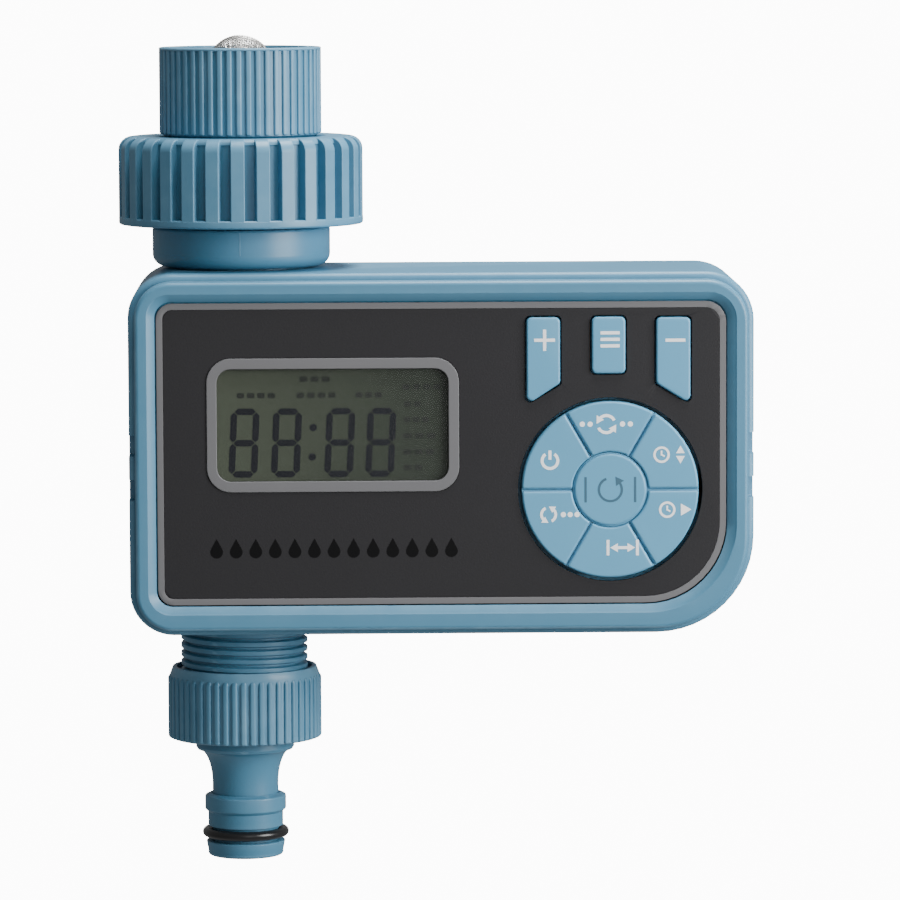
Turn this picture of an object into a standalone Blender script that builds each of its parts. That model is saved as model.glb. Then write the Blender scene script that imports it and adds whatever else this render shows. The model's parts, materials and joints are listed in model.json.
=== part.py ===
"""Drip irrigation timer: a tap-mounted box with a motor-driven ball valve behind a pull-off control module.

Frame: metres, +Z up, the front faces -Y. The origin is the centre of the inlet rim, on the waterway's axis,
which runs straight down through the valve to the hose connector. The casing reaches from there towards +X.
Sizes below are in millimetres.
"""

import math

import bmesh
import bpy
from mathutils import Matrix, Vector

MM = 0.001
GAP = 0.3                      # clearance between pieces that touch on the real object

# Casing, seen from the front
BODY_LEFT, BODY_RIGHT = -22.9, 104.95
BODY_TOP, BODY_BOTTOM = -45.6, -119.8
BODY_RADII = (9.0, 10.0, 20.0, 9.0)          # top left, top right, bottom right, bottom left
WALL = 2.4
BACK_Y = 20.0
BACK_FILLET = 7.0              # less than the smallest corner radius, so that it fits round each corner
RIM_Y = -24.5                  # front rim of the rear housing
FRONT_Y = -29.0                # front of the bezel
NOTCH_Z, NOTCH_TALL, NOTCH_LUG, NOTCH_DEEP = -85.3, 13.4, 4.7, 1.5

# Control module
BEZEL_INSET = 1.45             # from the casing's outline to the bezel's
SKIRT_INSET = 3.3
CAVITY_INSET = 5.3
SKIRT_BACK_Y = -18.2
SEAL_INSET, SEAL_GROOVE_INSET = 2.75, 4.15
SEAL_FRONT_Y, SEAL_BACK_Y = -23.2, -21.6
RECESS = (-17.28, 99.2, -51.1, -113.36)      # left, right, top, bottom
RECESS_MOUTH = (-18.65, 100.8, -49.8, -114.76)
PANEL = (-16.98, 98.95, -51.4, -113.1)
PANEL_RADII = (3.2, 4.2, 16.5, 3.2)
PANEL_FRONT_Y, PANEL_BACK_Y = -28.0, -27.3
FLOOR_FRONT_Y, FLOOR_BACK_Y = -27.0, -25.6
LCD_FRAME = (-6.86, 44.54, -62.66, -90.0)
LCD_WINDOW = (-4.79, 42.38, -64.84, -87.8)

# Keys
KEY_FRONT_Y, KEY_CAP_BACK_Y = -28.7, -25.3
KEY_FLANGE_BACK_Y, KEY_PLUNGER_END_Y = -24.5, -21.6
KEY_FLANGE = 0.8               # how far a key's flange reaches past its cap
PLUNGER_R = 1.3
DISC_X, DISC_Z = 75.3, -89.8
DISC_R, DISC_APERTURE_R = 18.0, 18.8
RESET_R, SECTOR_INNER_R = 7.6, 8.1
SECTOR_GAP = 0.5
PLUS = (65.13, 58.3, -54.55, -68.0, -72.4)   # short side, tall side, top, foot of each side
MINUS = (84.7, 91.65, -54.65, -68.1, -72.4)
MODE = (71.59, 78.42, -54.5, -66.06)         # left, right, top, bottom
SECTOR_KEYS = {"auto_key": 90, "set_clock_key": 30, "start_time_key": -30, "how_long_key": -90,
               "how_often_key": 210, "off_key": 150}
MAT_FRONT_Y, MAT_BACK_Y = -23.2, -22.4
BOARD_FRONT_Y, BOARD_BACK_Y = -20.3, -18.7
MODULE_PLATE_FRONT_Y, MODULE_PLATE_BACK_Y = -17.9, -16.7

MODULE_SCREWS = ((-14.6, -82.0), (96.6, -64.0))
BOSS_R, SCREW_HOLE_R = 2.4, 0.9

# Batteries (AAA) in the module's tray
CELL_R, CELL_LONG = 5.25, 44.5
CELL_XS, CELL_Y = (70.0, 82.0), -11.0
TRAY = (63.0, 89.0, -58.7, -109.8)
TRAY_WALL, TRAY_BACK_Y = 1.3, -5.0
LID_FRONT_Y, LID_BACK_Y = -4.7, -3.4

# Waterway: G1 thread between nut and adaptor, G3/4 at the tap and at the hose connector
STEPS = 20                     # facets around a round piece and around one turn of a thread
G1_PITCH, G1_CREST_R, G1_ROOT_R = 2.309, 16.62, 15.15
G34_PITCH, G34_CREST_R, G34_ROOT_R = 1.814, 13.22, 12.06
NUT_R, NUT_TOP, NUT_BOTTOM, NUT_SLOTS = 25.5, -18.4, -36.6, 30
ADAPTOR_R, ADAPTOR_BOTTOM = 16.85, -27.2
BORE_R = 9.0
VALVE_Z = -80.0                # centre of the ball
BALL_R, BALL_BORE_R = 9.5, 5.5
CHAMBER_R = 10.6
PIPE_R = 14.0
STEM_R = 2.8
OUTLET_END = -139.1
CONNECTOR_TOP, CONNECTOR_R, TIP = -129.1, 16.1, -169.1

# Drive: module 1 gears, all axes along X
GEAR_MODULE = 1.0
PINION_TEETH, WHEEL_TEETH, OUTPUT_TEETH = 9, 21, 24
OUTPUT_AT = (0.0, VALVE_Z)                   # y, z
GEAR_1_AT = (0.0, VALVE_Z - GEAR_MODULE * (OUTPUT_TEETH + PINION_TEETH) / 2)
MESH_DISTANCE = GEAR_MODULE * (WHEEL_TEETH + PINION_TEETH) / 2
GEAR_2_Y = 4.5
GEAR_2_RISE = math.sqrt(MESH_DISTANCE ** 2 - GEAR_2_Y ** 2)
GEAR_2_AT = (GEAR_2_Y, GEAR_1_AT[1] + GEAR_2_RISE)
MOTOR_AT = (0.0, GEAR_2_AT[1] + GEAR_2_RISE)
PIN_BORE_R = 1.5
GEAR_PLATE_X = (36.0, 37.5)
MOTOR_X, MOTOR_R = (37.8, 57.0), 10.0
COVER_FRONT_Y, COVER_BACK_Y = -16.3, -15.1
COVER_RIGHT = 62.3
COVER_SCREWS = ((-17.6, -54.0), (-17.6, -111.0), (59.9, -54.0), (59.9, -111.0))
PLUG = (42.0, 50.0, -109.4, -113.4)          # left, right, top, bottom

BLUE = ((0.165, 0.315, 0.405), 0.42, 0.0)
PALE_BLUE = ((0.20, 0.40, 0.52), 0.4, 0.0)
CHARCOAL = ((0.035, 0.034, 0.037), 0.45, 0.0)
GREY = ((0.17, 0.17, 0.175), 0.45, 0.0)
BLACK_RUBBER = ((0.012, 0.012, 0.012), 0.6, 0.0)
STEEL = ((0.6, 0.6, 0.6), 0.3, 1.0)
WHITE_PLASTIC = ((0.75, 0.75, 0.72), 0.45, 0.0)
RED_WIRE = ((0.6, 0.02, 0.02), 0.4, 0.0)
DISPLAY_GLASS = ((0.075, 0.09, 0.065), 0.15, 0.0)
CELL_WRAP = ((0.75, 0.45, 0.05), 0.35, 0.2)


# ---------------------------------------------------------------- scene and materials

def new_collection(name):
    collection = bpy.data.collections.new(name)
    bpy.context.scene.collection.children.link(collection)
    return collection


for old in list(bpy.data.objects):
    bpy.data.objects.remove(old)
PARTS = new_collection("drip_irrigation_timer")
CUTTERS = new_collection("cutters")


def material(name, look):
    colour, roughness, metallic = look
    result = bpy.data.materials.new(name)
    result.use_nodes = True
    shader = result.node_tree.nodes["Principled BSDF"]
    shader.inputs["Base Color"].default_value = (*colour, 1.0)
    shader.inputs["Roughness"].default_value = roughness
    shader.inputs["Metallic"].default_value = metallic
    return result


def add(name, mesh, look=None):
    """Link a mesh as a named sub-part with its own material, or as a cutter if it has no look."""
    part = bpy.data.objects.new(name, mesh)
    if look is None:
        CUTTERS.objects.link(part)
        part.hide_render = True
        part.display_type = "WIRE"
    else:
        PARTS.objects.link(part)
        mesh.materials.append(material(name, look))
    return part


def boolean(part, cutter, operation="DIFFERENCE"):
    modifier = part.modifiers.new(operation.lower(), "BOOLEAN")
    modifier.operation = operation
    modifier.object = cutter
    return part


def smooth(part, degrees=35):
    part.data.shade_smooth()
    part.data.set_sharp_from_angle(angle=math.radians(degrees))
    return part


# ---------------------------------------------------------------- outlines

def rounded(corners, radii, steps=6):
    """A polygon's points, given clockwise, with each corner turned into an arc of its radius."""
    points = []
    for i, corner in enumerate(corners):
        here = Vector(corner)
        to_last = (Vector(corners[i - 1]) - here).normalized()
        to_next = (Vector(corners[(i + 1) % len(corners)]) - here).normalized()
        half = to_last.angle(to_next) / 2
        centre = here + (to_last + to_next).normalized() * radii[i] / math.sin(half)
        start = here + to_last * radii[i] / math.tan(half) - centre
        sweep = math.pi - 2 * half
        for k in range(steps + 1):
            turn = Matrix.Rotation(-sweep * k / steps, 2)
            points.append(tuple(centre + turn @ start))
    return points


def rectangle(left, right, top, bottom, radii, steps=6):
    corners = ((left, top), (right, top), (right, bottom), (left, bottom))
    return rounded(corners, radii, steps)


def body_outline(inset):
    radii = [max(radius - inset, 0.5) for radius in BODY_RADII]
    return rectangle(BODY_LEFT + inset, BODY_RIGHT - inset, BODY_TOP - inset, BODY_BOTTOM + inset, radii)


def circle(x, z, radius, steps=32):
    angles = [2 * math.pi * k / steps for k in range(steps)]
    return [(x + radius * math.cos(a), z + radius * math.sin(a)) for a in angles]


def gear_outline(teeth, centre, phase, backlash=0.28):
    """Straight-flanked teeth whose corners lie on 25 degree involutes; one tooth points along phase."""
    pitch_r = GEAR_MODULE * teeth / 2
    base_r = pitch_r * math.cos(math.radians(25))
    tip_r, root_r = pitch_r + 0.85 * GEAR_MODULE, pitch_r - 1.15 * GEAR_MODULE

    def involute(radius):
        pressure = math.acos(min(1.0, base_r / radius))
        return math.tan(pressure) - pressure

    half_at_pitch = (math.pi * GEAR_MODULE / 2 - backlash) / 2 / pitch_r
    half_tip = half_at_pitch + involute(pitch_r) - involute(tip_r)
    half_root = half_at_pitch + involute(pitch_r) - involute(max(root_r, base_r))
    points = []
    for tooth in range(teeth):
        middle = phase + 2 * math.pi * tooth / teeth
        for radius, offset in ((root_r, -half_root), (tip_r, -half_tip), (tip_r, half_tip), (root_r, half_root)):
            angle = middle + offset
            points.append((centre[0] + radius * math.cos(angle), centre[1] + radius * math.sin(angle)))
    return points


# ---------------------------------------------------------------- solids

def filled_mesh(name, outlines, thickness):
    """A flat outline, with any further outlines as its holes, extruded by half its thickness each way."""
    curve = bpy.data.curves.new(name, "CURVE")
    curve.dimensions = "2D"
    curve.fill_mode = "BOTH"
    curve.extrude = thickness / 2 * MM
    for outline in outlines:
        spline = curve.splines.new("POLY")
        spline.points.add(len(outline) - 1)
        for point, (u, v) in zip(spline.points, outline):
            point.co = (u * MM, v * MM, 0, 1)
        spline.use_cyclic_u = True
    return mesh_from_curve(name, curve)


def mesh_from_curve(name, curve):
    guide = bpy.data.objects.new(name, curve)
    CUTTERS.objects.link(guide)
    evaluated = guide.evaluated_get(bpy.context.evaluated_depsgraph_get())
    mesh = bpy.data.meshes.new_from_object(evaluated)
    bpy.data.objects.remove(guide)
    work = bmesh.new()
    work.from_mesh(mesh)
    bmesh.ops.remove_doubles(work, verts=work.verts, dist=1e-6)
    bmesh.ops.recalc_face_normals(work, faces=work.faces)
    work.to_mesh(mesh)
    work.free()
    return mesh


def slab(name, outlines, front_y, back_y, look=None):
    """Outlines in (x, z), extruded along Y."""
    mesh = filled_mesh(name, outlines, back_y - front_y)
    mesh.transform(Matrix.Translation((0, (front_y + back_y) / 2 * MM, 0)) @ Matrix.Rotation(math.pi / 2, 4, "X"))
    return add(name, mesh, look)


def slab_along_x(name, outlines, x_range, look=None):
    """Outlines in (y, z), extruded along X."""
    mesh = filled_mesh(name, outlines, x_range[1] - x_range[0])
    turn = Matrix(((0, 0, 1, 0), (1, 0, 0, 0), (0, 1, 0, 0), (0, 0, 0, 1)))
    mesh.transform(Matrix.Translation((sum(x_range) / 2 * MM, 0, 0)) @ turn)
    return add(name, mesh, look)


def box(name, x_range, y_range, z_range, look=None):
    work = bmesh.new()
    bmesh.ops.create_cube(work, size=1)
    ranges = [sorted(pair) for pair in (x_range, y_range, z_range)]
    for corner in work.verts:
        corner.co = Vector([pair[0] if part < 0 else pair[1] for pair, part in zip(ranges, corner.co)]) * MM
    mesh = bpy.data.meshes.new(name)
    work.to_mesh(mesh)
    work.free()
    return add(name, mesh, look)


def tapered(name, front, front_y, back, back_y):
    """A cutter lofted between two outlines with the same number of points."""
    work = bmesh.new()
    rings = []
    for outline, y in ((front, front_y), (back, back_y)):
        ring = [work.verts.new((x * MM, y * MM, z * MM)) for x, z in outline]
        work.faces.new(ring)
        rings.append(ring)
    edges = [edge for edge in work.edges]
    bmesh.ops.bridge_loops(work, edges=edges)
    bmesh.ops.recalc_face_normals(work, faces=work.faces)
    mesh = bpy.data.meshes.new(name)
    work.to_mesh(mesh)
    work.free()
    return add(name, mesh)


def turned(name, profile, look=None, closed=True, steps=STEPS):
    """A profile of (radius, z), down its outer side from the top and then back up, turned about Z."""
    work = bmesh.new()
    corners = [work.verts.new((radius * MM, 0, z * MM)) for radius, z in profile]
    for first, second in zip(corners, corners[1:] + (corners[:1] if closed else [])):
        work.edges.new((first, second))
    mesh = bpy.data.meshes.new(name)
    work.to_mesh(mesh)
    work.free()
    part = add(name, mesh, look)
    screw = part.modifiers.new("turn", "SCREW")
    screw.steps = steps
    screw.render_steps = steps
    screw.use_merge_vertices = True
    screw.merge_threshold = 1e-5
    screw.use_smooth_shade = True
    return part


def turned_along_x(name, profile, axis_at, look=None, closed=True, steps=STEPS):
    """The same about an axis along X, given (radius, x) from high x down; no facet's edge lies level with it."""
    part = turned(name, profile, look, closed, steps)
    part.data.transform(Matrix.Rotation(math.pi / steps, 4, "Z"))
    part.location = (0, axis_at[0] * MM, axis_at[1] * MM)
    part.rotation_euler = (0, math.pi / 2, 0)
    return part


def rod_profile(radius, high, low):
    return ((0, high), (radius, high), (radius, low), (0, low))


def thread_ridge(name, bottom, turns, pitch, radii, half_widths):
    """A right-hand helical ridge: a trapezoid section swept up from bottom, with closed ends."""
    inner_r, outer_r = radii
    inner_half, outer_half = half_widths
    section = ((inner_r, inner_half), (outer_r, outer_half), (outer_r, -outer_half), (inner_r, -inner_half))
    work = bmesh.new()
    corners = [work.verts.new((radius * MM, 0, (bottom + z) * MM)) for radius, z in section]
    for i in range(4):
        work.edges.new((corners[i], corners[(i + 1) % 4]))
    mesh = bpy.data.meshes.new(name)
    work.to_mesh(mesh)
    work.free()
    guide = add(name, mesh)
    screw = guide.modifiers.new("thread", "SCREW")
    screw.angle = 2 * math.pi * turns
    screw.screw_offset = pitch * turns * MM
    screw.steps = screw.render_steps = round(STEPS * turns)
    evaluated = guide.evaluated_get(bpy.context.evaluated_depsgraph_get())
    swept = bpy.data.meshes.new_from_object(evaluated)
    bpy.data.objects.remove(guide)
    work = bmesh.new()
    work.from_mesh(swept)
    bmesh.ops.holes_fill(work, edges=work.edges, sides=4)
    bmesh.ops.recalc_face_normals(work, faces=work.faces)
    work.to_mesh(swept)
    work.free()
    return add(name, swept)


def slots(name, count, x_range, width, z_range):
    """A ring of box cutters, for grip slots and ribs."""
    work = bmesh.new()
    for i in range(count):
        made = bmesh.ops.create_cube(work, size=1)["verts"]
        size = Matrix.Diagonal((x_range[1] - x_range[0], width, z_range[1] - z_range[0], 1))
        place = Matrix.Translation((sum(x_range) / 2, 0, sum(z_range) / 2))
        turn = Matrix.Rotation(2 * math.pi * (i + 0.5) / count, 4, "Z")
        bmesh.ops.transform(work, matrix=Matrix.Scale(MM, 4) @ turn @ place @ size, verts=made)
    mesh = bpy.data.meshes.new(name)
    work.to_mesh(mesh)
    work.free()
    return add(name, mesh)


def tube(name, points, radius, look, closed=False, resolution=2):
    curve = bpy.data.curves.new(name, "CURVE")
    curve.dimensions = "3D"
    curve.bevel_depth = radius * MM
    curve.bevel_resolution = resolution
    curve.use_fill_caps = not closed
    spline = curve.splines.new("POLY")
    spline.points.add(len(points) - 1)
    for point, place in zip(spline.points, points):
        point.co = (*(value * MM for value in place), 1)
    spline.use_cyclic_u = closed
    return add(name, mesh_from_curve(name, curve), look)


# ---------------------------------------------------------------- rear housing and drive cover

def rear_housing():
    front_to_back = (RIM_Y, BACK_Y)
    housing = slab("rear_housing", [body_outline(0)], *front_to_back, BLUE)
    round_back_edge(housing, BACK_Y, BACK_FILLET)
    hollow = slab("housing_hollow", [body_outline(WALL)], RIM_Y - 5, BACK_Y - WALL)
    round_back_edge(hollow, BACK_Y - WALL, BACK_FILLET - WALL)
    boolean(housing, hollow)
    for name, hole_r, edge_z in (("inlet_hole", PIPE_R + GAP, BODY_TOP),
                                 ("outlet_hole", G34_CREST_R + 2 * GAP, BODY_BOTTOM)):
        boolean(housing, turned(name, rod_profile(hole_r, edge_z + 5, edge_z - 5), closed=False))
    for edge_x, side in ((BODY_LEFT, -1), (BODY_RIGHT, 1)):
        for end in (-1, 1):
            near, far = NOTCH_LUG / 2 * end, NOTCH_TALL / 2 * end
            x_range = (edge_x - side * NOTCH_DEEP, edge_x + side * 5)
            name = f"notch_{side}_{end}"
            boolean(housing, box(name, x_range, (RIM_Y - 5, RIM_Y + 4), (NOTCH_Z + near, NOTCH_Z + far)))
    for i, (x, z) in enumerate(COVER_SCREWS):
        outline = [circle(x, z, BOSS_R, 12), circle(x, z, SCREW_HOLE_R, 8)]
        boss = slab(f"boss_{i}", outline, COVER_BACK_Y + GAP, BACK_Y - WALL + 0.4)
        boolean(housing, boss, "UNION")
    return smooth(housing)


def round_back_edge(part, back_y, radius):
    work = bmesh.new()
    work.from_mesh(part.data)
    edges = [e for e in work.edges if all(abs(v.co.y - back_y * MM) < 1e-6 for v in e.verts)]
    rim = [e for e in edges if any(abs(f.normal.y) < 0.5 for f in e.link_faces)]
    bmesh.ops.bevel(work, geom=rim, offset=radius * MM, segments=4, profile=0.5, affect="EDGES")
    work.to_mesh(part.data)
    work.free()


def drive_cover():
    outline = body_outline(WALL + 0.5)
    outline = [(min(x, COVER_RIGHT), z) for x, z in outline]
    plug_hole = rectangle(PLUG[0] - 0.5, PLUG[1] + 0.5, PLUG[2] + 0.5, PLUG[3] - 0.5, [0.4] * 4, 1)
    holes = [circle(x, z, 1.2, 12) for x, z in COVER_SCREWS]
    head_clearance = circle(*MODULE_SCREWS[0], 2.6, 12)
    outlines = [unique(outline), plug_hole, head_clearance, *holes]
    slab("drive_cover", outlines, COVER_FRONT_Y, COVER_BACK_Y, WHITE_PLASTIC)
    for i, (x, z) in enumerate(COVER_SCREWS[:3]):
        screw(f"cover_screw_{i + 1}", x, z, COVER_FRONT_Y - GAP)


def unique(points):
    return [p for i, p in enumerate(points) if math.dist(p, points[i - 1]) > 1e-6]


def screw(name, x, z, head_y):
    """A pan-head screw driven towards +Y, its head's underside at head_y."""
    profile = ((0, 1.0), (1.4, 1.0), (2.0, 0.4), (2.0, 0), (0.75, 0), (0.75, -6.0), (0, -6.4))
    part = turned(name, profile, STEEL, closed=False, steps=8)
    part.location = (x * MM, head_y * MM, z * MM)
    part.rotation_euler = (math.pi / 2, 0, 0)
    return part


# ---------------------------------------------------------------- waterway

def thread_widths(root, crest, female=False):
    grow = GAP if female else 0.0
    return root + grow, crest + grow


def valve_body():
    """Two halves that meet at the ball's centre, each with half of the boss that holds the stem and its O-ring."""
    collar_r, past_middle = 18.45, 1.0
    spigot_r, groove_r = 13.4, 12.4
    low, high = VALVE_Z - past_middle, VALVE_Z + past_middle
    upper = turned("valve_body_upper", (
        (spigot_r, -29.8), (spigot_r, -31.3), (groove_r, -31.3), (groove_r, -33.5), (spigot_r, -33.5),
        (spigot_r, -37.2), (collar_r - 0.7, -37.2), (collar_r, -37.9), (collar_r, -42.7), (17.75, -44.4),
        (16.1, -45.3), (PIPE_R, -45.3), (PIPE_R, low), (CHAMBER_R, low), (CHAMBER_R, -70.5),
        (BORE_R, -70.5), (BORE_R, -29.8)), BLUE)
    lower = turned("valve_body_lower", (
        (PIPE_R, high), (PIPE_R, -112.0), (G34_ROOT_R, -114.0), (G34_ROOT_R, OUTLET_END), (BORE_R, OUTLET_END),
        (BORE_R, -89.5), (CHAMBER_R, -89.5), (CHAMBER_R, high)), BLUE)
    hole_r, pocket_r, pocket = STEM_R + GAP, 5.15, (16.3, 14.0)
    boss = turned_along_x("stem_boss", rod_profile(7.0, 18.4, 11.2), OUTPUT_AT, closed=False)
    hole = turned_along_x("stem_hole", (
        (0, 25), (hole_r, 25), (hole_r, pocket[0]), (pocket_r, pocket[0]), (pocket_r, pocket[1]),
        (hole_r, pocket[1]), (hole_r, 5), (0, 5)), OUTPUT_AT, closed=False)
    for piece, keep in ((upper, 1), (lower, -1)):
        boolean(piece, boss, "UNION")
        boolean(piece, hole)
        edge = VALVE_Z + keep * GAP / 2
        boolean(piece, box(f"half_trim_{keep}", (-30, 30), (-30, 30), (edge, edge - keep * 20)))
    thread = thread_ridge("outlet_thread", -138.2 + G34_PITCH, 9.0, G34_PITCH, (G34_ROOT_R - 0.3, G34_CREST_R),
                          thread_widths(0.6, 0.15))
    boolean(lower, thread, "UNION")


def ring(name, inner_r, outer_r, top, bottom, look, steps=STEPS):
    return turned(name, ((outer_r, top), (outer_r, bottom), (inner_r, bottom), (inner_r, top)), look, steps=steps)


def waterway_rings():
    for name, up in (("upper_seat", 1), ("lower_seat", -1)):
        section = [(10.3, 9.2), (10.3, 4.7), (8.8, 4.7), (6.5, 7.4), (6.5, 9.2)]
        if up < 0:
            section.reverse()
        turned(name, [(radius, VALVE_Z + up * z) for radius, z in section], WHITE_PLASTIC)
    ring("nut_retaining_ring", 12.7, 14.8, -31.6, -33.2, WHITE_PLASTIC)
    ring("inlet_washer", 9.5, 13.6, ADAPTOR_BOTTOM - GAP, -29.5, BLACK_RUBBER)
    ring("filter_washer", 7.6, 11.4, -13.3, -14.9, BLACK_RUBBER)
    ring("outlet_washer", 8.0, 12.0, OUTLET_END - GAP, -141.1, BLACK_RUBBER)
    o_ring("connector_o_ring", 8.05, 1.0, (0, 0, -164.2), (0, 0, 0), 20)
    o_ring("stem_o_ring", 4.1, 0.75, (15.15, OUTPUT_AT[0], OUTPUT_AT[1]), (0, math.pi / 2, 0), 16)


def o_ring(name, centre_r, thick_r, place, rotation, steps):
    bpy.ops.mesh.primitive_torus_add(major_segments=steps, minor_segments=8, major_radius=centre_r * MM,
                                     minor_radius=thick_r * MM, location=[v * MM for v in place], rotation=rotation)
    part = bpy.context.object
    part.name = name
    bpy.context.collection.objects.unlink(part)
    PARTS.objects.link(part)
    part.data.materials.append(material(name, BLACK_RUBBER))
    part.data.shade_smooth()
    return part


def swivel_nut():
    opening_r, hole_r = 17.4, 13.9
    thread_bottom, thread_top, inner_r = -31.0, -19.6, G1_ROOT_R + GAP
    nut = turned("swivel_nut", (
        (opening_r, NUT_TOP), (23.5, NUT_TOP), (NUT_R, NUT_TOP - 2.7), (NUT_R, NUT_BOTTOM + 0.4),
        (NUT_R - 0.4, NUT_BOTTOM), (hole_r, NUT_BOTTOM), (hole_r, -33.6), (inner_r, -33.6), (inner_r, thread_top),
        (opening_r, thread_top + 1.2)), BLUE, steps=NUT_SLOTS)
    boolean(nut, slots("nut_slots", NUT_SLOTS, (23.4, 30.0), 2.5, (NUT_BOTTOM + 1.7, 0)))
    # The groove runs out through the mouth, so that the adaptor's ridge can leave it.
    groove = thread_ridge("nut_thread", thread_bottom + 0.9, 5.5, G1_PITCH, (inner_r - 0.3, G1_CREST_R + GAP),
                          thread_widths(0.65, 0.2, female=True))
    boolean(nut, groove)
    return nut


def tap_adaptor():
    """Ribbed sleeve: G3/4 socket for the tap inside, G1 thread for the nut outside."""
    shoulder, socket_r, seat_z = -18.0, 12.35, -15.2
    adaptor = turned("tap_adaptor", (
        (13.6, 0), (ADAPTOR_R - 0.3, 0), (ADAPTOR_R, -0.3), (ADAPTOR_R, shoulder), (G1_ROOT_R, shoulder - 0.6),
        (G1_ROOT_R, ADAPTOR_BOTTOM), (9.6, ADAPTOR_BOTTOM), (9.6, seat_z), (socket_r, seat_z), (socket_r, -1.2)),
        BLUE)
    # The ridge starts a whole number of pitches above the nut's groove, so the two threads are in step.
    ridge = thread_ridge("adaptor_thread", -31.0 + 0.9 + 2 * G1_PITCH, 2.0, G1_PITCH,
                         (G1_ROOT_R - 0.3, G1_CREST_R), thread_widths(0.65, 0.2))
    boolean(adaptor, ridge, "UNION")
    tap_thread = thread_ridge("tap_thread", -11.8, 4.0, G34_PITCH, (socket_r - 0.3, 13.5),
                              thread_widths(0.4, 0.1, female=True))
    boolean(adaptor, tap_thread)
    return adaptor


def filter_dome():
    """Mesh thimble on a flat flange, open underneath; its crown stands above the inlet rim."""
    crown_z, outer_r, thick = -4.5, 7.0, 0.5

    def arc(radius):
        angles = [math.radians(a) for a in (90, 72, 54, 36, 18, 0)]
        return [(max(radius * math.cos(a), 0.0), crown_z + radius * math.sin(a)) for a in angles]

    outside = arc(outer_r) + [(outer_r, -12.2), (10.8, -12.2), (10.8, -13.0), (outer_r - thick, -13.0)]
    inside = list(reversed(arc(outer_r - thick)))
    outside[0] = (0.0, crown_z + outer_r)
    inside[-1] = (0.0, crown_z + outer_r - thick)
    return turned("filter_dome", outside + inside, STEEL, closed=False)


def hose_connector():
    floor_z, socket_r = -141.4, G34_ROOT_R + GAP
    cone = [math.radians(a) for a in (0, 30, 60, 90)]
    throat = [(10.0 - 3.1 * math.sin(a), -146.6 - 7.4 * (1 - math.cos(a))) for a in cone]
    connector = turned("hose_connector", [
        (14.2, CONNECTOR_TOP), (15.0, CONNECTOR_TOP), (CONNECTOR_R, CONNECTOR_TOP - 1.8), (CONNECTOR_R, -144.1),
        (10.2, -144.1), (10.1, -146.2), *throat, (6.9, -155.9), (8.5, -156.5), (8.5, -159.3), (7.85, -159.9),
        (7.85, -162.4), (6.7, -162.6), (6.7, -165.8), (8.25, -166.0), (7.9, -168.3), (7.0, TIP), (4.5, TIP),
        (4.5, floor_z), (socket_r, floor_z), (socket_r, -131.0), (14.2, -130.0)], BLUE)
    # The groove starts a whole number of pitches from the outlet's ridge, so the two threads are in step.
    groove = thread_ridge("connector_thread", -138.2, 4.8, G34_PITCH, (socket_r - 0.3, G34_CREST_R + GAP),
                          thread_widths(0.6, 0.15, female=True))
    boolean(connector, groove)
    return connector


# ---------------------------------------------------------------- valve ball and gear train

def valve_ball():
    bpy.ops.mesh.primitive_uv_sphere_add(segments=24, ring_count=12, radius=BALL_R * MM,
                                         location=(0, 0, VALVE_Z * MM))
    ball = bpy.context.object
    ball.name = "valve_ball"
    bpy.context.collection.objects.unlink(ball)
    PARTS.objects.link(ball)
    ball.data.materials.append(material("valve_ball", STEEL))
    ball.data.shade_smooth()
    bore = turned("ball_bore", rod_profile(BALL_BORE_R, VALVE_Z + 15, VALVE_Z - 15), closed=False)
    boolean(ball, bore)
    boolean(ball, box("ball_slot", (7.2, 12), (-1.6, 1.6), (VALVE_Z - 6, VALVE_Z + 6)))
    stem = turned_along_x("valve_stem", rod_profile(STEM_R, 26.2, 9.8), OUTPUT_AT, STEEL, closed=False)
    tang = box("stem_tang", (7.6, 10.5), (-1.25, 1.25), (VALVE_Z - 2.4, VALVE_Z + 2.4))
    boolean(stem, tang, "UNION")


def direction(start, end):
    return math.atan2(end[1] - start[1], end[0] - start[0])


def gear(name, stages, centre, bore_r, look):
    """A gear of one or two stages (teeth, phase, x range) on one axis, with a plain bore."""
    first, *others = stages
    bore = circle(*centre, bore_r, 16)
    part = slab_along_x(name, [gear_outline(first[0], centre, first[1]), bore], first[2], look)
    for i, (teeth, phase, x_range) in enumerate(others):
        extra = slab_along_x(f"{name}_stage_{i}", [gear_outline(teeth, centre, phase), bore], x_range)
        boolean(part, extra, "UNION")
    return part


def gap_towards(start, end, teeth):
    """Phase that turns a gap between two teeth towards the neighbour."""
    return direction(start, end) + math.pi / teeth


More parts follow.
